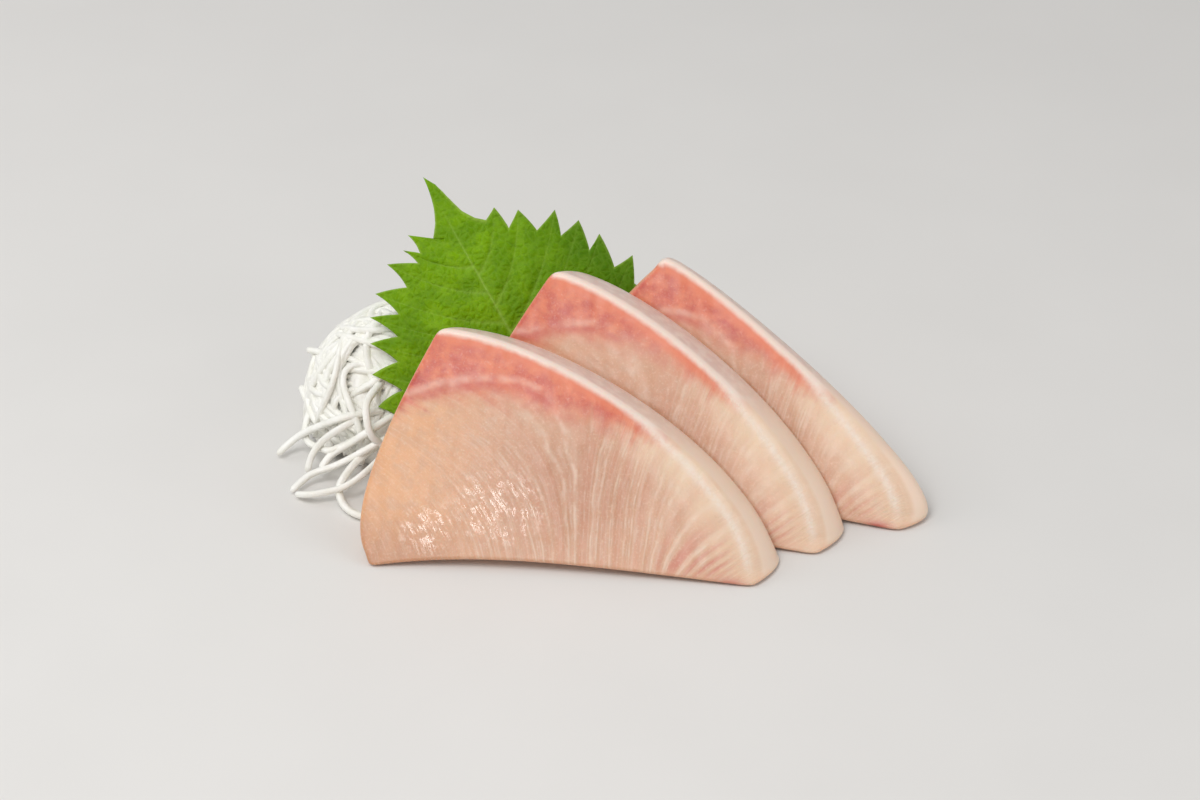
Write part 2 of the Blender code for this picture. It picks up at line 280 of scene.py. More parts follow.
class Surface:
    """One material, with short calls that add nodes to it."""

    def __init__(self, name: str) -> None:
        """Make the material with its Principled shader."""
        self.material = bpy.data.materials.new(name)
        self.material.use_nodes = True
        self.tree = self.material.node_tree
        self.shader = self.tree.nodes["Principled BSDF"]

    def feed(self, socket: Socket, value: Feed) -> None:
        """Link a socket, or set its own value.

        Args:
            socket: An input of a node.
            value: The output that feeds it, a number, or a colour.
        """
        if isinstance(value, Socket):
            self.tree.links.new(value, socket)
        elif isinstance(value, tuple) and len(socket.default_value) == 4:
            socket.default_value = (*value, 1)
        else:
            socket.default_value = value

    def set(self, **values: Feed) -> None:
        """Set sockets of the shader, with _ for a space in their names."""
        for name, value in values.items():
            self.feed(self.shader.inputs[name.replace("_", " ")], value)

    def own(self, name: str) -> Socket:
        """A value that the mesh carries for each point.

        Args:
            name: Name of the attribute.

        Returns:
            The value.
        """
        node = self.tree.nodes.new("ShaderNodeAttribute")
        node.attribute_name = name
        return node.outputs["Fac"]

    def place(self) -> Socket:
        """Object coordinates."""
        return self.tree.nodes.new("ShaderNodeTexCoord").outputs["Object"]

    def math(self, kind: str, *values: Feed) -> Socket:
        """One step of arithmetic.

        Args:
            kind: Name of the operation.
            *values: What it works on.

        Returns:
            The result.
        """
        node = self.tree.nodes.new("ShaderNodeMath")
        node.operation = kind
        for socket, value in zip(node.inputs, values):
            self.feed(socket, value)
        return node.outputs[0]

    def times(self, *values: Feed) -> Socket:
        """The product of two or more values."""
        return functools.reduce(functools.partial(self.math, "MULTIPLY"), values)

    def plus(self, *values: Feed) -> Socket:
        """The sum of two or more values."""
        return functools.reduce(functools.partial(self.math, "ADD"), values)

    def swing(self, noise: Socket, amount: float) -> Socket:
        """A noise value taken about its middle: (noise - 0.5) times the amount."""
        return self.times(self.math("SUBTRACT", noise, 0.5), amount)

    def rise(self, value: Socket, low: float, high: float,
             to: tuple[float, float] = (0.0, 1.0)) -> Socket:
        """A smooth step, up from low to high or down where high is the lower one.

        Args:
            value: What it depends on.
            low: Where the step starts.
            high: Where it ends.
            to: The results before and after the step.

        Returns:
            A value between the two.
        """
        node = self.tree.nodes.new("ShaderNodeMapRange")
        node.interpolation_type = "SMOOTHSTEP"
        reverse = low > high
        bounds = (high, low, *to[::-1]) if reverse else (low, high, *to)
        self.feed(node.inputs["Value"], value)
        for name, number in zip(("From Min", "From Max", "To Min", "To Max"), bounds):
            node.inputs[name].default_value = number
        return node.outputs["Result"]

    def mix(self, share: Feed, first: Feed, second: Feed) -> Socket:
        """A blend from the first colour to the second.

        Args:
            share: 0 for the first and 1 for the second.
            first: The first colour.
            second: The second colour.

        Returns:
            The blended colour.
        """
        node = self.tree.nodes.new("ShaderNodeMix")
        node.data_type = "RGBA"
        for name, value in (("Factor_Float", share), ("A_Color", first), ("B_Color", second)):
            self.feed(next(s for s in node.inputs if s.identifier == name), value)
        return next(s for s in node.outputs if s.identifier == "Result_Color")

    def over(self, base: Feed, code: str, share: Feed) -> Socket:
        """A base colour with a share of another one, named by its code, laid over it."""
        return self.mix(share, base, paint(code))

    def noise(self, size: float, detail: float = 2.0, at: Socket | None = None,
              along: Socket | None = None, rough: float = 0.5) -> Socket:
        """Noise whose features are about size millimetres.

        Args:
            size: Size of the features, or in the units of along.
            detail: Finer layers.
            at: Coordinates, Object ones if none are given.
            along: A single coordinate in place of the three.
            rough: Strength of the finer layers.

        Returns:
            A value around a half.
        """
        node = self.tree.nodes.new("ShaderNodeTexNoise")
        node.noise_dimensions = "1D" if along else "3D"
        node.inputs["Scale"].default_value = 1 / size if along else 1 / (size * MM)
        node.inputs["Detail"].default_value = detail
        node.inputs["Roughness"].default_value = rough
        if along:
            self.feed(node.inputs["W"], along)
        else:
            self.feed(node.inputs["Vector"], at or self.place())
        return node.outputs["Fac"]

    def noise_colour(self, size: float, at: Socket) -> Socket:
        """Noise as three values at once, for bending coordinates.

        Args:
            size: Size of its features in millimetres.
            at: Coordinates.

        Returns:
            Three values around a half.
        """
        node = self.tree.nodes.new("ShaderNodeTexNoise")
        node.inputs["Scale"].default_value = 1 / (size * MM)
        self.feed(node.inputs["Vector"], at)
        return node.outputs["Color"]

    def pair(self, first: Socket, second: Socket) -> Socket:
        """Two values as the first two parts of a vector.

        Args:
            first: The first part.
            second: The second part.

        Returns:
            The vector.
        """
        node = self.tree.nodes.new("ShaderNodeCombineXYZ")
        self.feed(node.inputs["X"], first)
        self.feed(node.inputs["Y"], second)
        return node.outputs["Vector"]

    def cells(self, size: float, along: Socket | None = None, at: Socket | None = None,
              edges: bool = False, scatter: float = 1.0) -> Socket:
        """Distance from the nearest seed point or cell edge, in cell sizes.

        Args:
            size: Size of a cell in millimetres, or in the units of along.
            along: A single coordinate for cells in a row.
            at: Coordinates, Object ones if none are given.
            edges: Whether the distance is from the cell edges.
            scatter: How unevenly the seeds stand.

        Returns:
            The distance.
        """
        node = self.tree.nodes.new("ShaderNodeTexVoronoi")
        node.voronoi_dimensions = "1D" if along else "3D"
        node.feature = "DISTANCE_TO_EDGE" if edges else "F1"
        node.inputs["Randomness"].default_value = scatter
        node.inputs["Scale"].default_value = 1 / size if along else 1 / (size * MM)
        if along:
            self.feed(node.inputs["W"], along)
        else:
            self.feed(node.inputs["Vector"], at or self.place())
        return node.outputs["Distance"]

    def relief(self, height: Socket, depth: float, under: Socket | None = None) -> Socket:
        """A bump in the shading.

        Args:
            height: The relief, from 0 to 1.
            depth: How high it stands where it is 1, in millimetres.
            under: Another relief that this one lies on.

        Returns:
            The normal.
        """
        node = self.tree.nodes.new("ShaderNodeBump")
        node.inputs["Distance"].default_value = depth * MM
        self.feed(node.inputs["Height"], height)
        if under:
            self.feed(node.inputs["Normal"], under)
        return node.outputs["Normal"]


# --- the slices of fish ---------------------------------------------------------------------


@dataclass(frozen=True)
class FishFinish:
    """Colours and gloss of raw yellowtail."""

    peach: str = "e7af82"
    flesh: str = "daa98a"
    grey: str = "cca387"
    painted_shade: str = "c08a6b"
    cream: str = "f5dabd"
    line: str = "f3dac6"
    blush: str = "cf7868"
    red: str = "cd5f50"
    deep: str = "b94441"
    orange: str = "ea8763"
    fat: str = "f7e6d9"
    veil: str = "efbfac"
    wall: str = "e0c5b9"
    tip_wall: str = "f3d8c2"
    # the warm painted highlight on the rims away from the skin
    rim: str = "f0b898"
    ridge_and_highlight: str = "f6e6d8"
    roughness: float = 0.42
    wet: float = 0.12       # roughness where it is wet
    glow: float = 0.18      # share of light that goes under the surface
    drawn_out: float = 0.16     # the fibres' pattern along the grain, as a share of that across it
    fibre_depth: float = 0.13
    grit_depth: float = 0.03

    def surface(self, name: str) -> Surface:
        """The material, driven by the values that a slice's mesh carries.

        Args:
            name: Name of the material.

        Returns:
            The finished surface.
        """
        s = Surface(name)
        mottle, fine, wander = s.noise(3.0, 3.0), s.noise(0.7, 3.0), s.noise(2.2)
        grain, open_grain = s.own("grain"), s.own("open_grain")
        heel, wall = s.own("heel"), s.own("wall_depth")

        # The flesh: peach at the heel, greyer in places, darker with painted shade, cream near the
        # skin.
        base = s.over(paint(self.flesh), self.peach, heel)
        base = s.over(base, self.grey, s.times(s.rise(mottle, 0.4, 0.65), 0.4))
        base = s.over(base, self.painted_shade, s.own("painted_shade"))
        base = s.over(base, self.cream, s.own("cream"))

        # The layers of muscle: wide and thin pale lines along the grain, and a blush between.
        bent = s.plus(grain, s.swing(s.noise(7.0, 1.0), 0.9))
        row, thin_row = s.cells(2.2, along=bent, scatter=0.6), s.cells(1.1, along=bent)
        strand = s.times(s.rise(row, 0.16, 0.0), open_grain,
                         s.rise(s.noise(3.0), 0.32, 0.6, (0.25, 1.0)))
        thread = s.times(s.rise(thin_row, 0.25, 0.02), s.rise(s.noise(3.0), 0.42, 0.65),
                         s.rise(heel, 0.7, 0.0, (0.12, 1.0)))
        faint = s.times(s.rise(s.noise(0.9, along=grain, rough=0.6), 0.45, 0.75),
                        s.rise(heel, 0.8, 0.1, (0.12, 1.0)))
        valley = s.times(s.rise(row, 0.12, 0.5), open_grain)
        for share in (s.own("blush"), 0.14):
            base = s.over(base, self.blush, s.times(valley, share))
        for lines, strength in ((strand, 0.4), (thread, 0.2), (faint, 0.2)):
            base = s.over(base, self.line, s.times(lines, strength))
        # Fine pale speckle: partly the flesh's own grain, partly painted sparkle.
        base = s.over(base, self.cream, s.times(s.rise(s.noise(0.5, 3.0), 0.5, 0.75), 0.22))

        # The dark muscle, with a frayed lower edge, flecks of fat, and blood at its heel end.
        combed = s.swing(s.noise(1.6, along=grain), 5.0)
        edge = s.plus(s.own("red_edge"), s.swing(wander, 2.5), combed)
        red = s.times(s.rise(edge, -3.6, 3.4), s.rise(wall, 1.2, 0.0))
        blood = s.over(paint(self.red), self.orange, s.rise(mottle, 0.3, 0.75))
        blood = s.over(blood, self.fat, s.times(s.rise(fine, 0.5, 0.85), 0.22))
        clotted = s.rise(s.noise(2.2, 4.0), 0.42, 0.68)
        blood = s.over(blood, self.deep, s.times(clotted, s.own("clot")))
        base = s.mix(s.times(red, s.rise(fine, 0.2, 0.6, (0.82, 1.0))), base, blood)

        # The pale veil through it, redder just under it, then the marbling and the tip's spot.
        arc, veil = s.plus(s.own("arc"), s.swing(s.noise(9.0), 2.4)), s.own("veil")
        under = s.times(s.rise(arc, 0.3, 1.2), s.rise(arc, 3.4, 1.6))
        along = s.times(s.rise(s.math("ABSOLUTE", arc), 1.5, 0.0), s.rise(s.noise(5.0), 0.3, 0.6))
        base = s.over(base, self.red, s.times(under, veil, 0.4))
        base = s.over(base, self.veil, s.times(along, veil, 0.5))
        base = s.over(base, self.fat, s.times(strand, s.own("marbling")))
        base = s.over(base, self.deep, s.own("spot"))

        # Along the skin edge: an orange line, the white fat outside it, and the tip's pale ridge
        # with a painted highlight.
        skin, rind = s.plus(s.own("skin"), s.swing(wander, 0.6)), s.own("rind")
        base = s.over(base, self.orange, s.times(s.rise(skin, 4.0, 1.8), rind, 0.8))
        base = s.over(base, self.fat, s.times(s.rise(skin, 1.8, 0.4), s.rise(rind, 0.0, 0.5), 0.9))
        base = s.over(base, self.ridge_and_highlight, s.times(s.own("ridge_and_highlight"), s.rise(fine, 0.2, 0.7, (0.5, 1.0))))

        # The walls: the skinned side is white and mottled, and the rims elsewhere carry a warm
        # painted highlight.
        skin_side = s.own("skin_side")
        mottled = s.rise(s.noise(2.4, 3.0), 0.35, 0.7)
        side = s.over(paint(self.wall), self.fat, s.times(mottled, 0.45))
        side = s.over(side, self.tip_wall, s.own("tip_wall"))
        rim = s.times(s.rise(wall, 0.0, 0.5), s.rise(skin_side, 0.6, 0.0))
        base = s.over(base, self.rim, s.times(rim, 0.35))
        base = s.mix(s.times(s.rise(wall, 0.5, 1.6), skin_side), base, side)

        # Relief and shine, which follow fibres that are drawn out along the grain.
        comb = s.pair(s.times(grain, MM), s.times(s.own("up"), self.drawn_out * MM))
        fibres = s.noise(0.7, 3.0, at=comb)
        on_face = s.rise(wall, 0.7, 0.1)
        height = s.times(s.plus(s.times(strand, 0.2), s.times(fibres, 0.9)), on_face,
                         s.rise(heel, 0.9, 0.1, (0.4, 1.0)))
        normal = s.relief(height, self.fibre_depth)
        grit = s.times(s.noise(0.6, 3.0), s.rise(wall, 0.7, 0.1, (0.3, 1.0)))
        normal = s.relief(grit, self.grit_depth, under=normal)
        shine = s.times(s.rise(s.noise(2.0, 3.0), 0.42, 0.54), s.rise(fibres, 0.42, 0.52),
                        s.own("wet"), on_face)
        gloss = s.math("SUBTRACT", self.roughness, s.times(shine, self.roughness - self.wet))
        s.set(Base_Color=base, Roughness=gloss, Normal=normal, Subsurface_Weight=self.glow,
              Subsurface_Radius=(1.0, 0.42, 0.25), Subsurface_Scale=0.0025, IOR=1.4,
              Specular_IOR_Level=0.55, Coat_Weight=0.15, Coat_Roughness=0.25)
        return s


@dataclass(frozen=True)
class Patch:
    """An oval place on a slice's section: its middle, its half width and its half height."""

    u: float
    v: float
    wide: float
    high: float

    def away(self, u: Array, v: Array) -> Array:
        """Distance from the middle, in half widths and half heights."""
        return np.hypot((u - self.u) / self.wide, (v - self.v) / self.high)

    def bell(self, u: Array, v: Array) -> Array:
        """A bell curve of that distance, 1 in the middle."""
        return np.exp(-self.away(u, v) ** 2)


@dataclass
class FishSlice:
    """A slice cut across the loin, stood on its belly edge and leaning back."""

    node: str
    turn: float         # degrees that the foot line turns back from X
    lean: float         # degrees that the cut face leans back from upright
    thick: float
    skew: Point         # shift of the back face along u, at the tip and at the apex
    skin_edge: tuple[Point, ...]
    heel_edge: tuple[Point, ...]
    foot_edge: tuple[Point, ...]
    red_line: tuple[Point, ...]     # the dark muscle's lower edge, as a cubic
    veil_line: tuple[Point, ...]    # and the pale line that runs through it
    tip_from: tuple[float, float]   # the tip's foot from the left and the front of the node's box
    marbled: float = 0.0    # strength of pale lines in the dark muscle
    clot: float = 1.0       # strength of the blood stains at the heel end of the dark muscle,
    spot: float = 0.6       # and of the one at the foot of the tip
    open: float = 1.0       # strength of the pale lines between the muscle's layers
    finish: FishFinish = field(default_factory=FishFinish)

    around: int = 560
    face_rings: int = 84
    rim_rings: int = 5
    wall_rings: int = 16
    back_rings: int = 36
    rim: float = 0.9
    fall_reach: float = 7.0     # the cut face falls away over this distance from the skin edge,
    fall: float = 1.3           # by this much near the tip
    side_bulge: float = 0.4
    tip_bulge: float = 1.0
    tip_reach: float = 8.0
    flat_foot: float = 11.0
    corner_pull: float = 0.55
    lowest: float = 0.05
    rounding: int = 6
    edge_steps: int = 240
    corner_steps: int = 24
    tight: float = 0.6          # share of a corner's radius that the rim may take up
    near: int = 5               # points to both sides over which the rim's rounding is evened out
    skin_steps: int = 190       # points on the skin edge that distances are measured from
    grain_steps: int = 40
    heel_ref: float = 82.0      # heel of the slice that the grain was drawn on
    uneven: tuple[Point, ...] = ((0.16, 16, 3), (0.05, 5, 4))   # height, length and seed of waves
    lean_from: float = -36.5    # left of here the strands lean over towards the apex,
    lean_over: float = 20.0     # more so over this distance
    fan_from: float = -14.5     # about here they begin to fan out towards the tip,
    fan_over: float = 3.2       # within this distance,
    fan_slope: float = 1.35     # to this slope
    red_slant: float = 0.85     # distance from the dark muscle's edge over the height above it
    painted_shade: Patch = Patch(-38, 20, 17, 13)        # the darker flesh
    blot: Patch = Patch(-4.5, 0.6, 3.2, 1.3)    # the blood stain at the tip
    wet: Patch = Patch(-54, 14, 10, 8)          # the painted shade over the middle of the cut face
    pool: Patch = Patch(-69, 9, 6, 6)           # and a smaller one next to the heel

    def outline(self) -> Array:
        """The section's closed outline, from the tip up to the apex, to the heel and back.

        The three edges are cubics. At each corner another one joins them, with its handles along
        the tangents there, corner_pull times the gap between the edges long.

        Returns:
            around rows of (u, v).
        """
        edges = (self.skin_edge, self.heel_edge, self.foot_edge)
        lines = []
        for edge, after in zip(edges, edges[1:] + edges[:1]):
            lines += [cubic(edge, self.edge_steps), self.corner(edge, after)]
        line = evenly(np.vstack(lines), self.around, closed=True)
        line[:, 1] = np.maximum(line[:, 1], self.lowest)
        for _ in range(self.rounding):
            line = (np.roll(line, 1, axis=0) + 2 * line + np.roll(line, -1, axis=0)) / 4
        return line

    def rims(self, edge: Array, along: Array) -> Array:
        """The rounding of the rim at each point of the outline, less where a corner is tight.

        The radius of a corner is the step over the turn between two tangents. The smallest one
        within some points counts, and the result is averaged over the same stretch.

        Args:
            edge: The outline.
            along: Its unit tangents.

        Returns:
            Millimetres for each point.
        """
        after = np.roll(along, -1, axis=0)
        turn = np.maximum(along[:, 0] * after[:, 1] - along[:, 1] * after[:, 0], 0.0001)
        step = np.linalg.norm(np.roll(edge, -1, axis=0) - edge, axis=1)
        radius = np.minimum(self.rim, self.tight * step / turn)
        near = range(-self.near, self.near + 1)
        radius = np.min([np.roll(radius, k) for k in near], axis=0)
        return np.mean([np.roll(radius, k) for k in near], axis=0)

    def corner(self, edge: tuple[Point, ...], after: tuple[Point, ...]) -> Array:
        """The rounded corner between two edges, as a cubic.

        Args:
            edge: The edge that ends there.
            after: The edge that starts there.

        Returns:
            Rows of (u, v).
        """
        start, end = np.array(edge[3], float), np.array(after[0], float)
        reach = np.linalg.norm(end - start) * self.corner_pull
        out, back = start - np.array(edge[2]), np.array(after[1]) - end
        out, back = out / np.linalg.norm(out) * reach, back / np.linalg.norm(back) * reach
        return cubic((start, start + out, end - back, end), self.corner_steps)

    def skin_measure(self, at: Array) -> tuple[Array, Array]:
        """Distance from the skin edge, and the place along it, of points of the section.

        Args:
            at: Rows of (u, v).

        Returns:
            Millimetres from the nearest point of the edge, and that point's share of its length.
        """
        apex = self.corner(self.skin_edge, self.heel_edge)[:self.corner_steps // 2]
        skin = evenly(np.vstack([cubic(self.skin_edge, 400), apex]), self.skin_steps)
        away, share = np.empty(len(at)), np.empty(len(at))
        for part in np.array_split(np.arange(len(at)), 12):     # in parts, to spare memory
            gaps = np.linalg.norm(at[part, None] - skin[None], axis=2)
            nearest = gaps.argmin(axis=1)
            away[part] = gaps[np.arange(len(part)), nearest]
            share[part] = nearest / (len(skin) - 1)
        return away, share

    def grain(self, at: Array) -> Array:
        """The strand of muscle that each point lies on, named by where it meets the foot.

        A point is carried down the grain in small steps. Left of the middle the strands lean
        over towards the apex, the more so higher up, and near the tip they fan out to the right.

        Args:
            at: Rows of (u, v).

        Returns:
            The value of u where the strand reaches v = 0.
        """
        u = at[:, 0] * self.heel_ref / -self.heel_edge[3][0]
        drop = at[:, 1] / self.grain_steps
        for step in range(self.grain_steps):
            v = at[:, 1] - drop * (step + 0.5)
            left = np.maximum(self.lean_from - u, 0) / self.lean_over
            slope = -left / (1 + 0.55 * left) * (0.2 + v / 15) * 0.9
            fan = np.clip((u - self.fan_from) / self.fan_over, -30, 30)
            slope += self.fan_slope / (1 + np.exp(-fan))
            slope += 0.3 * smooth(u, -38, -30) * smooth(v, 10, 30)
            u = u - slope * drop
        return u

    def looks(self, base: Array, depth: Array) -> dict[str, Array]:
        """The values that drive the finish.

        The dark muscle lies over one curve, and a pale veil follows another one through it. The
        rest are products of smooth steps: in u from the heel to the tip, in v from the foot up,
        in the distance from the skin edge, and in the share of its length from the tip.

        Args:
            base: (u, v) on the section of each point.
            depth: How far round the rim each point is, 0 on a cut face.

        Returns:
            Attributes by name.
        """
        u, v = base.T
        away, share = self.skin_measure(base)
        over_red = self.red_slant * (v - self.level(self.red_line, u))
        heel, veil_end = self.heel_edge[3][0], self.veil_line[3][0]
        tip, near_skin = smooth(u, -30, -8), smooth(away, 11, 2)
        between_edges = (1 - 0.5 * smooth(away, 3, 1)) * (1 - 0.6 * smooth(over_red, -2, 1.5))
        open_grain = (0.25 + 0.75 * smooth(u, -58, -38)) * smooth(v, 0.5, 4) * smooth(u, -1, -9)
        # The painted shade also darkens the lower part of the heel.
        heel_foot = smooth(v, 17, 1) * smooth(u, -52, -72)
        skin_cream = near_skin * smooth(share, 0.62, 0.36) * (0.85 - 0.3 * smooth(u, -12, 0))
        tip_cream = tip * smooth(v, 2, 9) * (1 - near_skin)
        # The tip's pale ridge, which also carries a broken painted highlight.
        ridge_and_highlight = np.exp(-(away - 0.9 - 0.9 * tip) ** 2) * smooth(share, 0.55, 0.4) * smooth(v, 1, 6)
        wet = 1 - smooth(self.wet.away(u, v), 0.4, 1.3)
        pool = 1 - smooth(self.pool.away(u, v), 0.4, 1.3)
        return {
            "grain": self.grain(base),
            "open_grain": self.open * open_grain * between_edges,
            "marbling": self.marbled * smooth(over_red, -2, 1) * smooth(away, 1.5, 3),
            "heel": smooth(u, -50, heel + 4),
            "painted_shade": np.clip(0.8 * self.painted_shade.bell(u, v) + 0.75 * heel_foot, 0, 1),
            "cream": skin_cream + 0.2 * tip_cream,
            "tip_wall": smooth(share, 0.6, 0.25),
            "blush": 0.8 * smooth(u, -24, -13) * smooth(v, 14, 2) * smooth(away, 1.5, 6),
            "red_edge": over_red,
            "clot": self.clot * (smooth(u, heel + 22, heel + 8) * smooth(over_red, 7, 1) + 0.12),
            "arc": self.level(self.veil_line, u) - v,
            "veil": smooth(u, veil_end, veil_end - 9),
            "up": v,
            "spot": self.spot * self.blot.bell(u, v),
            "skin": away,
            "rind": smooth(share, 0.36, 0.55) * (1 - 0.5 * smooth(share, 0.97, 1.0)),
            "wall_depth": depth,
            "skin_side": smooth(v, 1.0, 3.5) * smooth(away, 3.0, 0.6),
            "ridge_and_highlight": 0.85 * ridge_and_highlight,
            "wet": np.clip(0.25 + wet + 0.8 * pool + 0.5 * smooth(away, 6, 2) * tip, 0, 1),
        }

    def level(self, line: tuple[Point, ...], u: Array) -> Array:
        """The height v of a cubic line of the section at each u, level beyond its ends."""
        return np.interp(u, *cubic(line, 80).T)

    def build(self) -> bpy.types.Object:
        """The slice as one closed surface: a profile carried round the outline.

        The profile starts at the middle of the cut face, runs out to the rim, round it on a
        quarter circle, along the swollen side, round the other rim and in to the middle of the
        back. Between the two faces the section shifts by skew, and its foot is squared off to
        stand level. Near the tip the cut face falls away towards the skin edge.

        Returns:
            The mesh object.
        """
        edge = self.outline()
        along = np.roll(edge, -1, axis=0) - np.roll(edge, 1, axis=0)
        along /= np.linalg.norm(along, axis=1, keepdims=True)
        outward = np.stack([along[:, 1], -along[:, 0]], axis=1)
        swell = self.side_bulge + self.tip_bulge * np.maximum(1 + edge[:, 0] / self.tip_reach, 0)
        flat = (1 - np.clip(edge[:, 1] / self.flat_foot, 0, 1)) ** 2

        bend = np.linspace(0, math.pi / 2, self.rim_rings)
        inset = 1 - np.sin(bend)
        down = self.rim * (1 - np.cos(bend))
        between = np.linspace(self.rim, self.thick - self.rim, self.wall_rings)[1:-1]
        insets = np.outer(np.r_[inset, between * 0, inset[::-1]], self.rims(edge, along))[..., None]
        depths = np.r_[down, between, self.thick - down[::-1]]
        arch = 4 * depths / self.thick * (1 - depths / self.thick)
        bulge = outward * (arch[:, None] * swell)[..., None]
        bulge[..., 1] *= 1 - flat
        side = edge + bulge - outward * insets
        base_side = edge - outward * insets
        depth_side = np.broadcast_to(depths[:, None], side.shape[:2]).copy()

        middle = edge.mean(axis=0)
        share = (np.arange(self.face_rings) / self.face_rings)[1:, None, None]
        front = middle + (side[0] - middle) * share
        share = (np.arange(self.back_rings) / self.back_rings)[:0:-1, None, None]
        back = middle + (side[-1] - middle) * share

        def whole(walls: Array) -> Array:
            """The section's places of all points, with those of the walls given."""
            rows = [rings.reshape(-1, 2) for rings in (front, walls, back)]
            return np.vstack([middle, *rows, middle])

        flat_uv, base = whole(side), whole(base_side)
        w = np.r_[0, np.zeros(front[..., 0].size), depth_side.ravel(),
                  np.full(back[..., 0].size + 1, self.thick)]
        wall = np.minimum(w, self.thick - w)
        values = self.looks(base, wall)

        u, v = flat_uv.T
        s = w / self.thick
        to_apex = np.clip(u / self.heel_edge[0][0], 0, 1)
        skew = self.skew[1] + (self.skew[0] - self.skew[1]) * (1 - to_apex) ** 2
        square = self.thick * math.tan(math.radians(self.lean))
        flat_all = (1 - np.clip(v / self.flat_foot, 0, 1)) ** 2
        near_skin = 1 - np.clip(values["skin"] / self.fall_reach, 0, 1)
        fall = self.fall * smooth(base[:, 0], -42, -10) * near_skin ** 2
        uneven = sum(height * ripple(base, size, seed) for height, size, seed in self.uneven)
        w = w + (fall * smooth(v, 0, 4) + uneven * smooth(v, 0, 5)) * (1 - s) ** 2
        points = self.stand(u + skew * s, v + square * s * flat_all, w)
        points[:, 2] = np.maximum(points[:, 2], 0)

        count = self.around
        rings = (len(points) - 2) // count
        here, last = np.arange(count), len(points) - 1
        after = (here + 1) % count
        last_ring = 1 + (rings - 1) * count
        faces = [
            ring_faces(rings, count) + 1,
            np.stack([np.zeros(count, int), after + 1, here + 1], axis=1),
            np.stack([np.full(count, last), last_ring + here, last_ring + after], axis=1),
        ]
        outwards = [corners[:, ::-1] for corners in faces]
        piece = make_piece(self.node + "_flesh", points, outwards, values)
        settle(piece, self.node, self.finish.surface(self.node + "_surface"))
        return piece

    def axes(self) -> tuple[Array, Array, Array]:
        """The slice's own directions: turned about Z, and then leant back about the foot line.

        Returns:
            Unit directions of u, of v, and of w.
        """
        turn, lean = math.radians(self.turn), math.radians(self.lean)
        along = np.array([math.cos(turn), -math.sin(turn), 0])
        level = np.array([-math.sin(turn), -math.cos(turn), 0])
        up = np.array([0, 0, math.cos(lean)]) - level * math.sin(lean)
        into = -level * math.cos(lean) - np.array([0, 0, math.sin(lean)])
        return along, up, into

    def foot(self) -> Array:
        """Where the tip's foot stands, from the left front corner of the CAD node's box."""
        low, _ = node_box(self.node)
        return np.array([low[0] + self.tip_from[0], low[1] + self.tip_from[1], 0.0])

    def stand(self, u: Array, v: Array, w: Array) -> Array:
        """Points of the slice from (u, v, w): the foot plus each times its direction."""
        along, up, into = self.axes()
        return self.foot() + u[:, None] * along + v[:, None] * up + w[:, None] * into

    def holds(self, points: Array, margin: float) -> Array:
        """Whether points lie in the slice or in front of it.

        In the section's plane the outline is given by its radius from the middle at each angle.

        Args:
            points: Places in millimetres.
            margin: Clear space to keep.

        Returns:
            True for each point that does.
        """
        along, up, into = self.axes()
        off = points - self.foot()
        edge = self.outline()
        middle = edge.mean(axis=0)
        angles = np.arctan2(*(edge - middle).T[::-1])
        order = np.argsort(angles)
        radius = np.linalg.norm(edge - middle, axis=1)[order]
        flat = np.stack([off @ along, off @ up], axis=-1) - middle
        here = np.arctan2(flat[..., 1], flat[..., 0])
        limit = np.interp(here, angles[order], radius, period=2 * math.pi)
        return (np.linalg.norm(flat, axis=-1) < limit + margin) & (off @ into < self.thick + margin)


# --- the shiso leaf -------------------------------------------------------------------------


@dataclass(frozen=True)
class LeafFinish:
    """Colours and gloss of a fresh green shiso leaf."""

    green: str = "669300"
    bright: str = "7ba800"
    dark: str = "447100"
    vein: str = "96ba4c"
    rim: str = "aac45c"
    roughness: float = 0.5
    web_bend: float = 1.6       # how far the net of the finest veins is bent, in millimetres
    web_depth: float = 0.16
    grit_depth: float = 0.05

    def surface(self, name: str) -> Surface:
        """The material, driven by the values that the leaf's mesh carries.

        Args:
            name: Name of the material.

        Returns:
            The finished surface.
        """
        s = Surface(name)
        side_vein, midrib, margin = s.own("side_vein"), s.own("midrib"), s.own("margin")
        place = s.place()
        warp = s.tree.nodes.new("ShaderNodeVectorMath")
        warp.operation = "MULTIPLY_ADD"
        s.feed(warp.inputs[0], s.noise_colour(2.5, place))
        warp.inputs[1].default_value = (self.web_bend * MM,) * 3
        s.feed(warp.inputs[2], place)
        net = s.cells(1.7, edges=True, at=warp.outputs[0])
        web = s.rise(net, 0.2, 0.0)
        base = s.over(paint(self.green), self.bright, s.rise(s.noise(6.0, 3.0), 0.35, 0.7))
        base = s.over(base, self.dark, s.times(s.own("shade"), 0.75))
        base = s.over(base, self.dark, s.times(s.rise(s.noise(1.0, 3.0), 0.45, 0.75), 0.35))
        for veins, strength in ((web, 0.1), (side_vein, 0.4), (midrib, 0.8)):
            base = s.over(base, self.vein, s.times(veins, strength))
        # A pale rim along the margin: partly the leaf's own paler edge, partly a painted highlight.
        base = s.over(base, self.rim, s.times(margin, 0.4))
        height = s.math("SUBTRACT", s.rise(net, 0.0, 0.5), s.times(side_vein, 0.4))
        normal = s.relief(s.plus(height, s.times(s.noise(1.3, 3.0), 1.2)), self.web_depth)
        normal = s.relief(s.noise(0.35), self.grit_depth, under=normal)
        s.set(Base_Color=base, Roughness=self.roughness, Normal=normal, Subsurface_Weight=0.12,
              Subsurface_Radius=(0.5, 0.9, 0.1), Subsurface_Scale=0.001, Specular_IOR_Level=0.1)
        return s


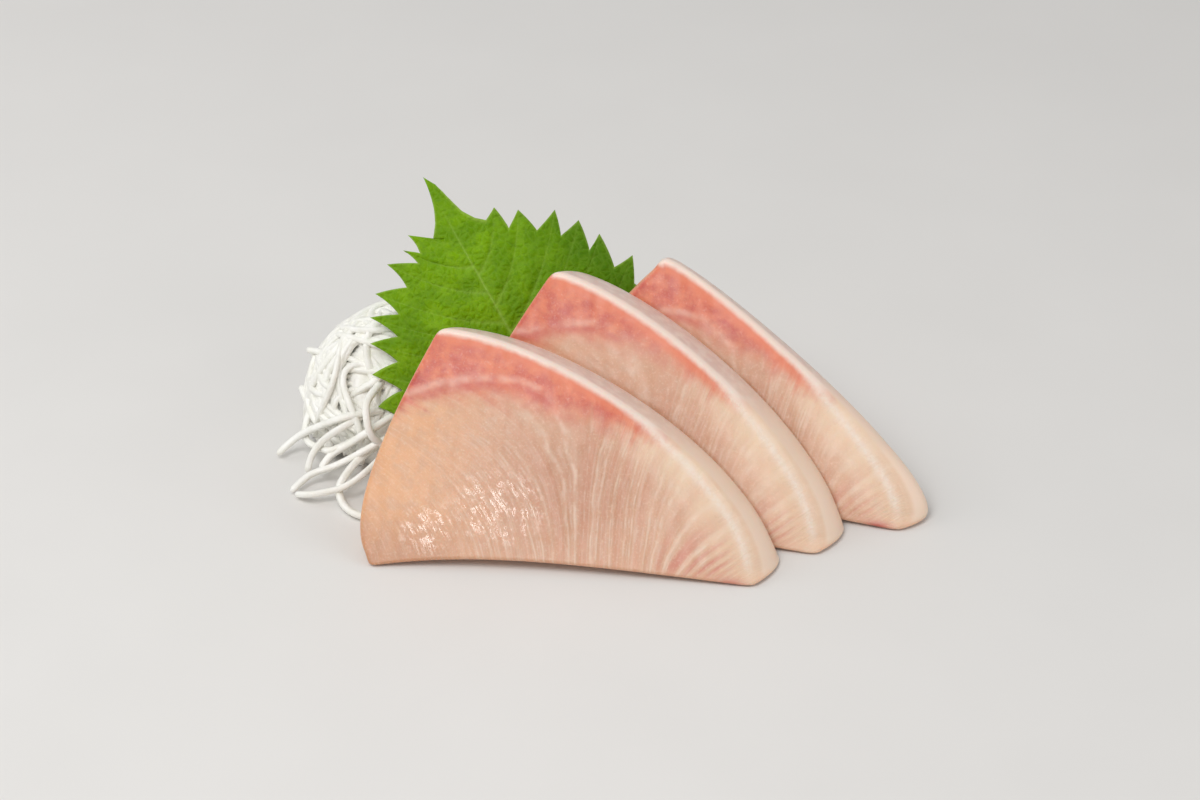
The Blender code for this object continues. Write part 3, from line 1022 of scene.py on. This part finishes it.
@dataclass
class ShisoLeaf:
    """The blade, drawn on the midrib and on side veins that leave it at one angle."""

    node: str = "shiso_leaf"
    down: Point = (0.49, -0.50, -0.71)      # from the tip towards the stalk
    across: Point = (0.87, 0.33, 0.37)
    length: float = 64.0
    thick: float = 0.4
    vein_angle: float = 46.0
    # The margin as (place on the midrib where the side vein starts, length of the vein), from
    # the tip down: the long drip tip first, and then a tooth and a notch in turn.
    left_margin: tuple[Point, ...] = (
        (4.4, 0.7), (8.5, 1.9), (12.8, 3.8), (17.4, 6.6),
        (18.1, 12.6), (22.5, 12.1), (22.9, 16.1), (25.5, 14.1), (28.2, 22.4), (33.4, 20.6),
        (37.6, 29.8), (41.9, 26.7), (44.9, 34.7), (48.4, 30.2), (52.5, 38.5), (55.7, 33.9),
        (61.4, 42.6), (63.7, 36.9), (70.3, 45.8), (71.5, 41.5),
    )
    right_margin: tuple[Point, ...] = (
        (4.1, 2.1), (6.9, 3.0), (9.7, 3.8), (12.0, 4.5), (14.2, 5.2), (18.5, 7.6), (21.9, 10.2),
        (23.1, 14.2), (29.2, 15.0), (30.2, 20.2), (37.5, 22.1), (40.9, 30.0), (44.9, 27.7),
        (48.7, 34.8), (54.5, 33.2), (56.0, 38.3), (63.2, 37.3), (67.5, 44.0), (70.4, 40.2),
        (72.5, 41.2),
    )
    first_tooth: tuple[int, int] = (4, 7)   # where the teeth start in the two lists
    base_centre: float = 41.0
    base_half_width: float = 30.5
    base_teeth: int = 5
    base_tooth_depth: float = 3.2
    crowd_from: float = 34.0
    crowd: float = 0.62
    droop: float = 3.0
    bend_from: float = 28.0
    bend: float = 0.0058
    hook: tuple[float, float] = (0.07, -0.03)   # hollow of the teeth's edges, left and right
    tip_hook: float = 0.02
    steps: int = 9              # points between a tooth and its notch
    rows: int = 44
    vein_width: float = 0.42
    vein_bow: float = 2.2       # the side veins bow towards the stalk by this much
    quilt: float = 0.3          # how far the blade swells between its veins
    # Distance between side veins over their step along the midrib, and along the margin.
    vein_gap: tuple[float, float] = (0.72, 0.6)
    side_groove: float = 0.07
    mid_groove: float = 0.12
    # Uneven swells: height, length and seed of the waves, and where across the blade they set in.
    swells: tuple[Point, ...] = ((0.25, 11, 5, 0, 6), (0.5, 26, 9, 4, 14))
    ruffle: Point = (0.07, 3.6, 8, 0, 4)
    tip_from: Point = (11.6, 0.0, -0.15)    # the tip from the box's left, back and top
    cover_side: float = 3.0     # what the blade counts as wider,
    cover_end: float = 2.0      # and longer, where other pieces are kept off it
    cover_taper: float = 26.0
    finish: LeafFinish = field(default_factory=LeafFinish)

    def frame(self) -> tuple[Array, Array, Array]:
        """The blade's own directions.

        Returns:
            Unit directions down the midrib, across the blade, and out of its upper face.
        """
        down = np.array(self.down) / np.linalg.norm(self.down)
        across = np.array(self.across) / np.linalg.norm(self.across)
        facing = np.cross(across, down)
        facing /= np.linalg.norm(facing)
        return down, across, facing * -np.sign(facing[1])

    def margin(self, pairs: tuple[Point, ...]) -> Array:
        """The half margin's corners as (down, across), from the tip to the stalk.

        A vein's end lies forward of its start by the cosine of the vein angle, and out by the
        sine. Below the widest place the corners stand on an ellipse, each second one inset.

        Args:
            pairs: The margin's list of veins.

        Returns:
            One row for each corner.
        """
        angle = math.radians(self.vein_angle)
        place, reach = np.array(pairs).T
        top = np.stack([place - reach * math.cos(angle), reach * math.sin(angle)], axis=1)
        i = np.arange(1, 2 * self.base_teeth)
        turn = 0.5 * math.pi * i / (2 * self.base_teeth)
        inset = self.base_tooth_depth * (i % 2 == 0)
        low = np.stack([
            self.base_centre + (self.length - self.base_centre - inset) * np.sin(turn),
            (self.base_half_width - inset) * np.cos(turn),
        ], axis=1)
        return np.vstack([top, low])

    def roots(self) -> Array:
        """Places on the midrib from which the corners of both half margins are reached.

        They are the means of both lists. Below crowd_from they stand closer by crowd.

        Returns:
            Distances from the tip, one for each corner.
        """
        places = (np.array(self.left_margin)[:, 0] + np.array(self.right_margin)[:, 0]) / 2
        places -= (1 - self.crowd) * np.maximum(places - self.crowd_from, 0)
        step = (self.length - places[-1]) / (2 * self.base_teeth)
        return np.r_[0, places, places[-1] + step * np.arange(1, 2 * self.base_teeth), self.length]

    def half(self, pairs: tuple[Point, ...], first_tooth: int,
             side: int) -> tuple[Array, dict[str, Array]]:
        """One half of the blade as a grid from the midrib to the margin.

        Between two corners the margin bows out by hook times the distance, as a parabola, and a
        point inside lies on the bowed line from its root on the midrib to the margin. A side
        vein runs to each tooth, and the height falls off from it as a bell curve.

        Args:
            pairs: The margin's list of veins.
            first_tooth: Index of the first tooth in the list.
            side: -1 for the left half and +1 for the right one.

        Returns:
            Rows of points, and the values that the finish reads.
        """
        corners = np.vstack([[0, 0], self.margin(pairs), [self.length, 0]])
        spans = len(corners) - 1
        t = np.linspace(0, 1, self.steps, endpoint=False)
        step = np.diff(corners, axis=0)
        normal = np.stack([-step[:, 1], step[:, 0]], axis=1)
        edge_hook = self.hook[side > 0]
        hook = np.where(step[:, 0] > 0, edge_hook, edge_hook * 0.5)
        hook[:first_tooth] = self.tip_hook
        bow = hook[:, None, None] * normal[:, None] * (4 * t * (1 - t))[None, :, None]
        line = corners[:-1, None] + step[:, None] * t[None, :, None] + bow * (1, -1)
        line = np.vstack([line.reshape(-1, 2), corners[-1:]])
        number = np.r_[(np.arange(spans)[:, None] + t).ravel(), spans]
        root = np.interp(number, np.arange(spans + 1), self.roots())

        share = np.linspace(0, 1, self.rows)[:, None]
        down = root + (line[:, 0] - root) * share
        down = down + self.vein_bow * 4 * share * (1 - share) * smooth(root, 8, 30)
        across = line[:, 1] * share
        tips = np.arange(first_tooth, spans - 1, 2) + 1.0
        gap = np.abs(number[:, None] - tips).min(axis=1)
        margin_step = np.linalg.norm(np.gradient(line, axis=0), axis=1)
        inner, outer = self.vein_gap
        pitch = np.gradient(root) * (1 - share) * inner + margin_step * share * outer
        away = gap * pitch * self.steps
        wide = self.vein_width * (1.15 - 0.75 * share)
        side_vein = np.exp(-(away / wide) ** 2) * smooth(share, 0.0, 0.04) * (1 - 0.6 * share)
        side_vein *= smooth(root, 14, 22)
        wide = 0.26 + 0.2 * smooth(root, 20, 60)
        midrib = np.exp(-(across / wide) ** 2) * smooth(root, 4, 24)
        edge_gap = (1 - share) * np.maximum(np.abs(line[:, 1]), 0.5)
        from_vein = np.sin(np.clip(gap, 0, 1) * math.pi / 2) ** 2
        quilt = self.quilt * from_vein * np.sin(share * math.pi) ** 0.7 * smooth(root, 12, 24)
        lift = quilt - self.side_groove * side_vein - self.mid_groove * midrib
        flat = np.stack([down, across * side], axis=-1)
        for waves, where in ((self.swells, 1.0), ((self.ruffle,), smooth(root, 6, 20))):
            for high, size, seed, inner, outer in waves:
                swell = high * ripple(flat, size, int(seed)) * smooth(across, inner, outer)
                lift = lift + swell * where
        values = {
            "side_vein": side_vein,
            "midrib": midrib,
            "margin": smooth(edge_gap, 0.42, 0.1) * smooth(root, 2, 10),
            "shade": smooth(across * side, 8, 26),
        }
        return self.spread(down, across * side, lift), values

    def spread(self, down: Array, across: Array, lift: Array) -> Array:
        """Points of the bent blade: along the midrib, across it, and lifted off its face.

        It bends back below bend_from with the square of the distance, and its sides droop with
        the square of the distance from the midrib.

        Args:
            down: Distance from the tip.
            across: Distance from the midrib.
            lift: Height over the blade.

        Returns:
            Places in millimetres.
        """
        way, wide, facing = self.frame()
        lift = lift - self.sinks(down, across)
        low, high = node_box(self.node)
        tip = np.array([low[0], high[1], high[2]]) + self.tip_from
        return tip + down[..., None] * way + across[..., None] * wide + lift[..., None] * facing

    def sinks(self, down: Array, across: Array) -> Array:
        """How far the bent blade lies behind its plane.

        Args:
            down: Distance from the tip.
            across: Distance from the midrib.

        Returns:
            The bend and the droop together.
        """
        bend = self.bend * np.maximum(down - self.bend_from, 0) ** 2
        return bend + self.droop * (across / self.base_half_width) ** 2

    def build(self) -> bpy.types.Object:
        """Both halves, joined along the midrib, with a thin wall.

        Returns:
            The blade.
        """
        left, left_values = self.half(self.left_margin, self.first_tooth[0], -1)
        right, right_values = self.half(self.right_margin, self.first_tooth[1], 1)
        points = np.vstack([left[::-1], right[1:]])
        values = {
            key: np.vstack([value[::-1], right_values[key][1:]])
            for key, value in left_values.items()
        }
        faces = sheet_faces(points.shape[0], points.shape[1])
        piece = make_piece("shiso_blade", points.reshape(-1, 3), [faces], values)
        weld_and_turn(piece, self.frame()[2])
        wall = piece.modifiers.new("thickness", "SOLIDIFY")
        wall.thickness = self.thick * MM
        wall.offset = 0.0
        settle(piece, self.node, self.finish.surface("shiso_surface"))
        return piece

    def covers(self, points: Array, margin: float) -> Array:
        """Whether points lie in the blade or in front of it.

        Args:
            points: Places in millimetres.
            margin: Clear space to keep.

        Returns:
            True for each point that does.
        """
        way, wide, facing = self.frame()
        off = points - self.spread(np.zeros(1), np.zeros(1), np.zeros(1))[0]
        down, across, lift = off @ way, off @ wide, off @ facing
        lift = lift + self.sinks(down, across)
        opening = np.clip((down + self.cover_end) / self.cover_taper, 0, 1) ** 0.8
        half = (self.base_half_width + self.cover_side) * opening
        return (np.abs(across) < half) & (down < self.length + self.cover_end) & (lift > -margin)


def weld_and_turn(piece: bpy.types.Object, towards: Array) -> None:
    """Merge the doubled points of an open sheet and turn its faces one way.

    Args:
        piece: The sheet.
        towards: The direction that its upper face looks in.
    """
    bm = bmesh.new()
    bm.from_mesh(piece.data)
    bmesh.ops.remove_doubles(bm, verts=bm.verts, dist=WELD)
    bmesh.ops.recalc_face_normals(bm, faces=bm.faces)
    total = sum((face.normal * face.calc_area() for face in bm.faces), Vector())
    if total.dot(Vector(towards)) < 0:
        bmesh.ops.reverse_faces(bm, faces=bm.faces)
    bm.to_mesh(piece.data)
    bm.free()


# --- the shredded daikon --------------------------------------------------------------------


@dataclass(frozen=True)
class DaikonFinish:
    """Colour and gloss of wet daikon."""

    white: str = "fdfcf7"
    clear: str = "f6f5ec"
    roughness: float = 0.3
    grit_depth: float = 0.12

    def surface(self, name: str) -> Surface:
        """The material of the threads and of the heap's core.

        Args:
            name: Name of the material.

        Returns:
            The finished surface.
        """
        s = Surface(name)
        base = s.over(paint(self.white), self.clear, s.rise(s.noise(2.5), 0.35, 0.7))
        base = s.over(base, self.clear, s.times(s.own("streak"), 0.4))
        normal = s.relief(s.noise(0.5), self.grit_depth)
        s.set(Base_Color=base, Roughness=self.roughness, Normal=normal, IOR=1.36,
              Specular_IOR_Level=0.5)
        return s


@dataclass
class DaikonHeap:
    """Long threads of daikon in a loose heap, with the ends that stick out on its left."""

    others: list[FishSlice]
    leaf: ShisoLeaf
    node: str = "daikon_heap"
    half: tuple[float, float] = (28.5, 21.5)
    height: float = 27.5
    flank: float = 2.5
    middle: tuple[float, float] = (-35.7, 18.7)
    thread: float = 0.8         # half the width of a thread
    threads: int = 190
    stations: int = 60
    sides: int = 8
    core: float = 0.955         # the core's size as a share of the heap's,
    core_hollow: float = 0.12   # by this much less on the left
    core_gap: float = 1.6       # clear space between the core and the other pieces
    core_foot: float = 0.15
    core_points: tuple[int, int] = (120, 40)    # points round it, and rings
    seed: int = 11
    start_low: float = 0.05     # how low the middle of a thread may be
    spans: tuple[float, float] = (2.0, 3.6)     # how far round the heap a thread goes, in radians
    wobble: float = 0.2         # how far it goes to the side, in radians,
    wobbles: tuple[float, float] = (5.0, 14.0)  # and how often
    weave: float = 0.015        # how far it goes in and out, as a share of the heap,
    weaves: tuple[float, float] = (10.0, 22.0)  # and how often
    phase: float = 6.3          # about a full turn
    layers: tuple[float, float] = (0.965, 1.02)
    end_dip: float = 0.3        # how far a thread's ends go in
    ease: int = 4               # stations over which a route is kept in and evened out
    least_share: float = 0.05
    trials: int = 40
    step_back: float = 0.024    # about one trial's step
    section_power: float = 2.8
    section_height: float = 0.86
    taper: float = 26.0         # a thread narrows over this part of its length, at each end
    end_width: float = 0.35
    spread: tuple[float, float] = (0.85, 1.1)           # of the widths of the heap's threads
    loose_spread: tuple[float, float] = (0.92, 1.06)    # and of the loose ones
    loose_stations: int = 40
    finish: DaikonFinish = field(default_factory=DaikonFinish)
    # Loose threads by the places they pass through, from their free end.
    loose: tuple[tuple[Point, ...], ...] = (
        ((-70, 4.5, 1), (-67, 6.5, 3), (-64, 6.5, 5.5), (-60, 5, 8.5), (-54.5, 2.5, 12.5),
         (-46, 6, 12)),
        ((-66, -9, 1), (-62, -5, 2.5), (-57, -4, 4), (-53, -3.5, 6), (-48, -3, 9), (-43, 2, 9)),
        ((-65, -10, 1), (-61.5, -11.5, 2), (-57.5, -11, 2.5), (-54, -10.5, 3.5), (-50, -8.5, 5.5),
         (-45, -2, 7)),
        ((-47, -18.5, 1), (-51, -17.5, 1), (-54, -14.5, 1), (-55.5, -10.5, 2), (-54.5, -8, 4),
         (-51, -3.5, 6), (-45, 3, 7)),
        ((-63, -2, 1), (-62, 0, 4), (-59.5, 1.5, 7), (-54.5, 1.5, 11), (-47, 7, 12)),
        ((-60, -3, 2.5), (-57.5, -1, 5), (-53, -0.5, 8), (-49.5, -1, 11), (-44, 4, 12)),
        ((-64, 23.5, 16), (-59.5, 20, 17.5), (-54, 16, 19.5), (-49, 14.5, 21.5)),
        ((-63, 25, 14), (-59.5, 18.5, 15.5), (-57.5, 14, 14.5), (-56, 9, 12.5), (-50, 6, 9)),
        ((-56, 22, 22), (-50.5, 19.5, 23), (-48.5, 21, 23.5), (-45.5, 24.5, 24), (-42, 28, 18)),
        ((-53.5, 21.5, 22.5), (-56.5, 21.5, 21.5), (-58.5, 20, 19.5), (-60, 18.5, 17),
         (-60, 17, 14), (-54, 12, 10)),
        ((-65.5, 19.5, 9), (-64, 15.5, 8), (-62.5, 12.5, 7.5), (-60.5, 10, 6.5), (-53, 8, 6)),
        ((-63.5, 20, 11), (-61.5, 17.5, 12), (-59, 14.5, 13.5), (-54.5, 11.5, 15.5), (-47, 12, 14)),
        ((-60, 15, 13), (-62, 13, 9), (-63.5, 11, 6.5), (-64, 8, 4.5), (-63, 5.5, 3.5),
         (-60, 2, 4.5), (-57, -0.5, 6), (-49, 4, 8)),
        ((-47, 9, 17), (-49.5, 2, 17), (-49.5, -1.5, 14.5), (-48.5, -3, 11.5), (-46, -2, 8)),
    )

    def dome(self, direction: Array) -> Array:
        """The heap's outline in some directions from the middle of its foot.

        A dome whose height and half width follow powers of the sine and cosine of the rise, so
        that its flanks are steeper than a ball's.

        Args:
            direction: Unit vectors.

        Returns:
            Offsets from the middle of the foot, in millimetres.
        """
        turn = np.arctan2(direction[..., 1], direction[..., 0])
        rise = np.arcsin(np.clip(direction[..., 2], 0, 1))
        level = np.cos(rise) ** (2 / self.flank)
        top = self.height * np.sin(rise) ** (2 / self.flank)
        x, y = self.half[0] * level * np.cos(turn), self.half[1] * level * np.sin(turn)
        return np.stack([x, y, top], axis=-1)

    def reach(self, direction: Array, margin: float) -> Array:
        """The largest share of the dome's radius that stays behind the leaf and the slices.

        Args:
            direction: Unit vectors.
            margin: Clear space to keep.

        Returns:
            A share from 0 to 1 for each.
        """
        outline, foot = self.dome(direction), np.array([*self.middle, 0.0])
        share = np.ones(direction.shape[:-1])
        for trial in np.linspace(1, self.least_share, self.trials):
            points = foot + outline * trial
            blocked = self.leaf.covers(points, margin)
            for other in self.others:
                blocked |= other.holds(points, margin)
            share = np.where(blocked, np.minimum(share, trial - self.step_back), share)
        return share

    def routes(self) -> Array:
        """Seeded routes of the threads that make up the heap.

        Each follows a great circle of the dome, with a wobble to the side, drawn at its own
        depth. Where the leaf or a slice lies on the heap, the route keeps under it, by the
        smallest reach found within a few stations.

        Returns:
            An array of threads by stations by 3.
        """
        chance = np.random.default_rng(self.seed)
        count, stations = self.threads, self.stations
        start = chance.normal(size=(count, 3))
        start[:, 2] = np.abs(start[:, 2]) * 0.9 + self.start_low
        start /= np.linalg.norm(start, axis=1, keepdims=True)
        heading = np.cross(start, chance.normal(size=(count, 3)))
        heading /= np.linalg.norm(heading, axis=1, keepdims=True)
        sideways = np.cross(start, heading)
        s = np.linspace(-0.5, 0.5, stations)[None]
        angle = s * chance.uniform(*self.spans, (count, 1))
        waves = s * chance.uniform(*self.wobbles, (count, 1))
        waves = waves + chance.uniform(0, self.phase, (count, 1))
        direction = (
            start[:, None] * np.cos(angle)[..., None] + heading[:, None] * np.sin(angle)[..., None]
            + sideways[:, None] * self.wobble * np.sin(waves)[..., None]
        )
        direction[..., 2] = np.abs(direction[..., 2] - 0.02) + 0.02
        direction /= np.linalg.norm(direction, axis=-1, keepdims=True)
        share = self.reach(direction, self.thread * 1.5)
        share = windows(windows(share, self.ease).min(axis=0), self.ease).mean(axis=0)
        layer = chance.uniform(*self.layers, (count, 1)) - self.end_dip * np.abs(2 * s) ** 8
        waves = s * chance.uniform(*self.weaves, (count, 1))
        waves = waves + chance.uniform(0, self.phase, (count, 1))
        share = share * (layer + self.weave * np.sin(waves))
        points = np.array([*self.middle, 0.0]) + self.dome(direction) * share[..., None]
        points[..., 2] = np.maximum(points[..., 2], self.thread)
        return points

    def tubes(self, routes: Array, widths: Array) -> tuple[Array, list[Array], dict[str, Array]]:
        """Closed tubes with a rounded square section, carried along the routes.

        The section is a superellipse. It is kept from twisting by carrying its side direction
        from each station to the next and taking out what lies along the route. Each end narrows
        on a quarter circle and is closed with a flat cap.

        Args:
            routes: Threads by stations by 3.
            widths: Half width of each thread.

        Returns:
            Points, faces and attributes for make_piece.
        """
        count, stations, _ = routes.shape
        along = np.gradient(routes, axis=1)
        along /= np.linalg.norm(along, axis=2, keepdims=True)
        side = np.cross(along[:, 0], np.array([0.3, 0.2, 0.93]))
        side /= np.linalg.norm(side, axis=1, keepdims=True)
        sides = np.empty_like(routes)
        for k in range(stations):
            side = side - along[:, k] * np.sum(side * along[:, k], axis=1, keepdims=True)
            side /= np.linalg.norm(side, axis=1, keepdims=True)
            sides[:, k] = side
        other = np.cross(along, sides)
        turn = 2 * math.pi * (np.arange(self.sides) + 0.5) / self.sides
        power = 2 / self.section_power
        across = np.sign(np.cos(turn)) * np.abs(np.cos(turn)) ** power
        up = np.sign(np.sin(turn)) * np.abs(np.sin(turn)) ** power * self.section_height
        way = np.linspace(0, 1, stations)
        taper = np.clip(np.minimum(way, 1 - way) * self.taper, 0, 1)
        taper = self.end_width + (1 - self.end_width) * np.sqrt(1 - (1 - taper) ** 2)
        size = widths[:, None] * taper[None]
        points = (
            routes[:, :, None] + sides[:, :, None] * (size[..., None] * across)[..., None]
            + other[:, :, None] * (size[..., None] * up)[..., None]
        )
        quads = ring_faces(stations, self.sides)
        offset = (np.arange(count) * stations * self.sides)[:, None, None]
        quads = (quads[None] + offset).reshape(-1, 4)
        ring = np.arange(self.sides)
        caps = np.stack([ring[::-1], ring + (stations - 1) * self.sides])
        caps = (caps[None] + offset).reshape(-1, self.sides)
        streak = np.broadcast_to(0.5 + 0.5 * np.cos(turn * 2), points.shape[:3])
        return points.reshape(-1, 3), [quads, caps], {"streak": streak}

    def build(self) -> list[bpy.types.Object]:
        """The heap's threads, its loose ends, and the core under them.

        Returns:
            The three pieces.
        """
        surface = self.finish.surface("daikon_surface")
        chance = np.random.default_rng(self.seed + 1)
        widths = self.thread * chance.uniform(*self.spread, self.threads)
        heap = make_piece("daikon_threads", *self.tubes(self.routes(), widths))
        lines = np.array([through(places, self.loose_stations) for places in self.loose])
        lines[..., 2] = np.maximum(lines[..., 2], self.thread)
        widths = self.thread * chance.uniform(*self.loose_spread, len(lines))
        ends = make_piece("daikon_ends", *self.tubes(lines, widths))
        pieces = [heap, ends, self.core_piece()]
        for piece in pieces:
            settle(piece, self.node, surface)
        return pieces

    def core_piece(self) -> bpy.types.Object:
        """A closed dome under the threads, kept behind the leaf and the slices.

        Rings of even rise go from the edge of the foot to the top, and a flat face closes each
        end. The reach is evened out by taking the mean of neighbours, three times each way.

        Returns:
            The core.
        """
        around, rings = self.core_points
        turn = np.linspace(0, 2 * math.pi, around, endpoint=False)
        rise = np.linspace(0.001, math.pi / 2 - 0.02, rings)[:, None]
        level = np.cos(rise)
        up = np.broadcast_to(np.sin(rise), (rings, around))
        direction = np.stack([level * np.cos(turn), level * np.sin(turn), up], axis=-1)
        share = self.reach(direction, self.core_gap)
        for _ in range(3):
            share = windows(share.T, 1).mean(axis=0).T
            share = (np.roll(share, 1, axis=1) + share + np.roll(share, -1, axis=1)) / 3
        share = share * (self.core - self.core_hollow * smooth(-direction[..., 0], 0.3, 1.0))
        points = np.array([*self.middle, self.core_foot]) + self.dome(direction) * share[..., None]
        ring = np.arange(around)
        faces = [ring_faces(rings, around), ring[None, ::-1], (ring + (rings - 1) * around)[None]]
        flat = points.reshape(-1, 3)
        return make_piece("daikon_core", flat, faces, {"streak": np.zeros(len(flat))})


# --- floor, light and camera ----------------------------------------------------------------


@dataclass(frozen=True)
class Lamp:
    """A square area light: its sizes and places in metres, and its power in watts."""

    name: str
    place: Point
    size: float
    power: float
    aim: Point = (0.0, 0.0, 0.02)

    def build(self) -> bpy.types.Object:
        """Make the light and turn it to its aim.

        Returns:
            The light's object.
        """
        light = bpy.data.lights.new(self.name, "AREA")
        light.size, light.energy = self.size, self.power
        lamp = bpy.data.objects.new(self.name, light)
        lamp.location = self.place
        towards = Vector(self.aim) - Vector(self.place)
        lamp.rotation_euler = towards.to_track_quat("-Z", "Y").to_euler()
        bpy.context.scene.collection.objects.link(lamp)
        return lamp


@dataclass
class Studio:
    """A plain pale floor, soft lights, and the camera."""

    elevation: float = 35.0         # degrees
    distance: float = 0.7           # metres
    target: Point = (0.0008, -0.0393, 0.0463)
    focal: float = 104.16           # millimetres
    sensor: float = 36.0
    near: float = 0.01
    floor_size: float = 4.0
    floor_level: float = -0.3       # millimetres, so that nothing lies in the floor's plane
    floor: tuple[str, str] = ("e4e2df", "dfddda")
    world: float = 0.4
    lamps: tuple[Lamp, ...] = (
        Lamp("key", (-0.25, -0.35, 0.75), 0.45, 3.5),
        Lamp("fill", (0.7, -0.3, 0.5), 0.6, 1.35),
        Lamp("left", (-0.65, 0.15, 0.5), 0.5, 1.3, aim=(-0.04, 0.02, 0.02)),
    )
    wet_place: tuple[float, float] = (-57.0, 13.5)  # u and v of the front slice's wettest part
    glint_away: float = 0.9
    glint_size: float = 0.15
    glint_power: float = 1.3

    def eye(self) -> Vector:
        """Where the camera stands."""
        tilt = math.radians(self.elevation)
        return Vector(self.target) + self.distance * Vector((0, -math.cos(tilt), math.sin(tilt)))

    def glint(self, fish: FishSlice) -> None:
        """A small lamp whose mirror image in the front slice's cut face lies on its wet part.

        The lamp stands along the view direction reflected about the face, 2 (n·v) n - v. Only
        the gloss sees it.

        Args:
            fish: The front slice.
        """
        u, v = self.wet_place
        spot = Vector(fish.stand(np.array([u]), np.array([v]), np.zeros(1))[0] * MM)
        normal = -Vector(fish.axes()[2])
        view = (self.eye() - spot).normalized()
        mirrored = 2 * normal.dot(view) * normal - view
        place = tuple(spot + mirrored * self.glint_away)
        lamp = Lamp("glint", place, self.glint_size, self.glint_power, aim=tuple(spot)).build()
        lamp.visible_diffuse = False

    def build(self, fish: FishSlice) -> None:
        """Make the floor, the lights and the camera.

        Args:
            fish: The front slice, which one lamp is placed for.
        """
        scene = bpy.context.scene
        span = self.floor_size / 2 / MM
        corners = np.array([[x, y, self.floor_level] for x, y in (
            (-span, -span), (span, -span), (span, span), (-span, span))])
        floor = make_piece("floor", corners, [np.array([[0, 1, 2, 3]])], {})
        paper = Surface("floor_surface")
        light, dark = self.floor
        paper.set(Base_Color=paper.over(paint(light), dark, paper.noise(40.0)), Roughness=0.8)
        floor.data.materials.append(paper.material)

        sky = bpy.data.worlds.new("studio")
        sky.use_nodes = True
        background = sky.node_tree.nodes["Background"]
        background.inputs["Color"].default_value = (1, 1, 1, 1)
        background.inputs["Strength"].default_value = self.world
        scene.world = sky
        for lamp in self.lamps:
            lamp.build()
        self.glint(fish)

        lens = bpy.data.cameras.new("camera")
        lens.sensor_width, lens.lens, lens.clip_start = self.sensor, self.focal, self.near
        eye = bpy.data.objects.new("camera", lens)
        eye.location = self.eye()
        eye.rotation_euler = (math.pi / 2 - math.radians(self.elevation), 0, 0)
        scene.collection.objects.link(eye)
        scene.camera = eye
        scene.view_settings.view_transform = "Standard"


# --- the serving ----------------------------------------------------------------------------


def slices() -> list[FishSlice]:
    """The three slices.

    Returns:
        The front one, the middle one and the back one.
    """
    return [
        FishSlice(
            node="slice_front", turn=5.0, lean=32.5, thick=9.6, skew=(4.1, 4.1),
            skin_edge=((1.0, 2.4), (-0.7, 24.2), (-42.5, 49.0), (-65.6, 50.8)),
            heel_edge=((-69.2, 49.2), (-74.2, 39.0), (-87.3, 13.2), (-81.9, 3.0)),
            foot_edge=((-79.6, 0.1), (-58.0, 4.4), (-38.0, 2.8), (-1.4, 0.0)),
            red_line=((-76.0, 33.8), (-60.7, 44.5), (-34.8, 31.4), (-21.0, 30.7)),
            veil_line=((-75.0, 37.0), (-61.3, 41.7), (-49.9, 44.4), (-38.5, 33.5)),
            tip_from=(82.4, -0.1),
        ),
        FishSlice(
            node="slice_middle", turn=9.0, lean=31.0, thick=9.4, skew=(4.0, 4.0),
            skin_edge=((0.8, 2.4), (0.0, 21.8), (-38.4, 50.0), (-58.0, 54.7)),
            heel_edge=((-62.2, 53.3), (-67.6, 44.0), (-84.6, 14.0), (-80.4, 3.2)),
            foot_edge=((-78.0, 0.1), (-56.0, 4.0), (-36.0, 2.6), (-1.5, 0.0)),
            red_line=((-64.0, 39.2), (-52.0, 49.6), (-32.5, 36.7), (-19.0, 31.8)),
            veil_line=((-65.1, 42.1), (-57.3, 45.2), (-50.5, 47.3), (-42.0, 41.5)),
            tip_from=(79.45, -0.17), clot=0.6, spot=0.15, open=0.6,
        ),
        FishSlice(
            node="slice_back", turn=12.0, lean=30.0, thick=5.8, skew=(4.4, 0.0),
            skin_edge=((0.9, 2.4), (3.0, 15.6), (-43.9, 48.2), (-55.2, 52.0)),
            heel_edge=((-58.9, 49.1), (-66.5, 41.0), (-81.5, 19.0), (-76.8, 4.0)),
            foot_edge=((-74.0, 0.1), (-54.0, 3.6), (-36.0, 2.4), (-1.6, 0.0)),
            red_line=((-57.0, 40.0), (-45.1, 41.9), (-30.9, 30.1), (-19.0, 27.8)),
            veil_line=((-58.5, 40.9), (-53.0, 41.8), (-47.0, 41.2), (-42.0, 38.5)),
            tip_from=(75.05, -0.2), marbled=0.5, spot=0.85, open=0.5,
        ),
    ]


def main() -> None:
    """Build the serving and its studio, and report each piece."""
    logging.basicConfig(level=logging.INFO, format="%(name)s: %(message)s")
    fish = slices()
    leaf = ShisoLeaf()
    pieces = [piece.build() for piece in fish]
    pieces.append(leaf.build())
    pieces += DaikonHeap(others=fish, leaf=leaf).build()
    for piece in pieces:
        LOG.info("%s: %d faces", piece.name, len(piece.data.polygons))
    Studio().build(fish[0])


if __name__ == "__main__":
    main()
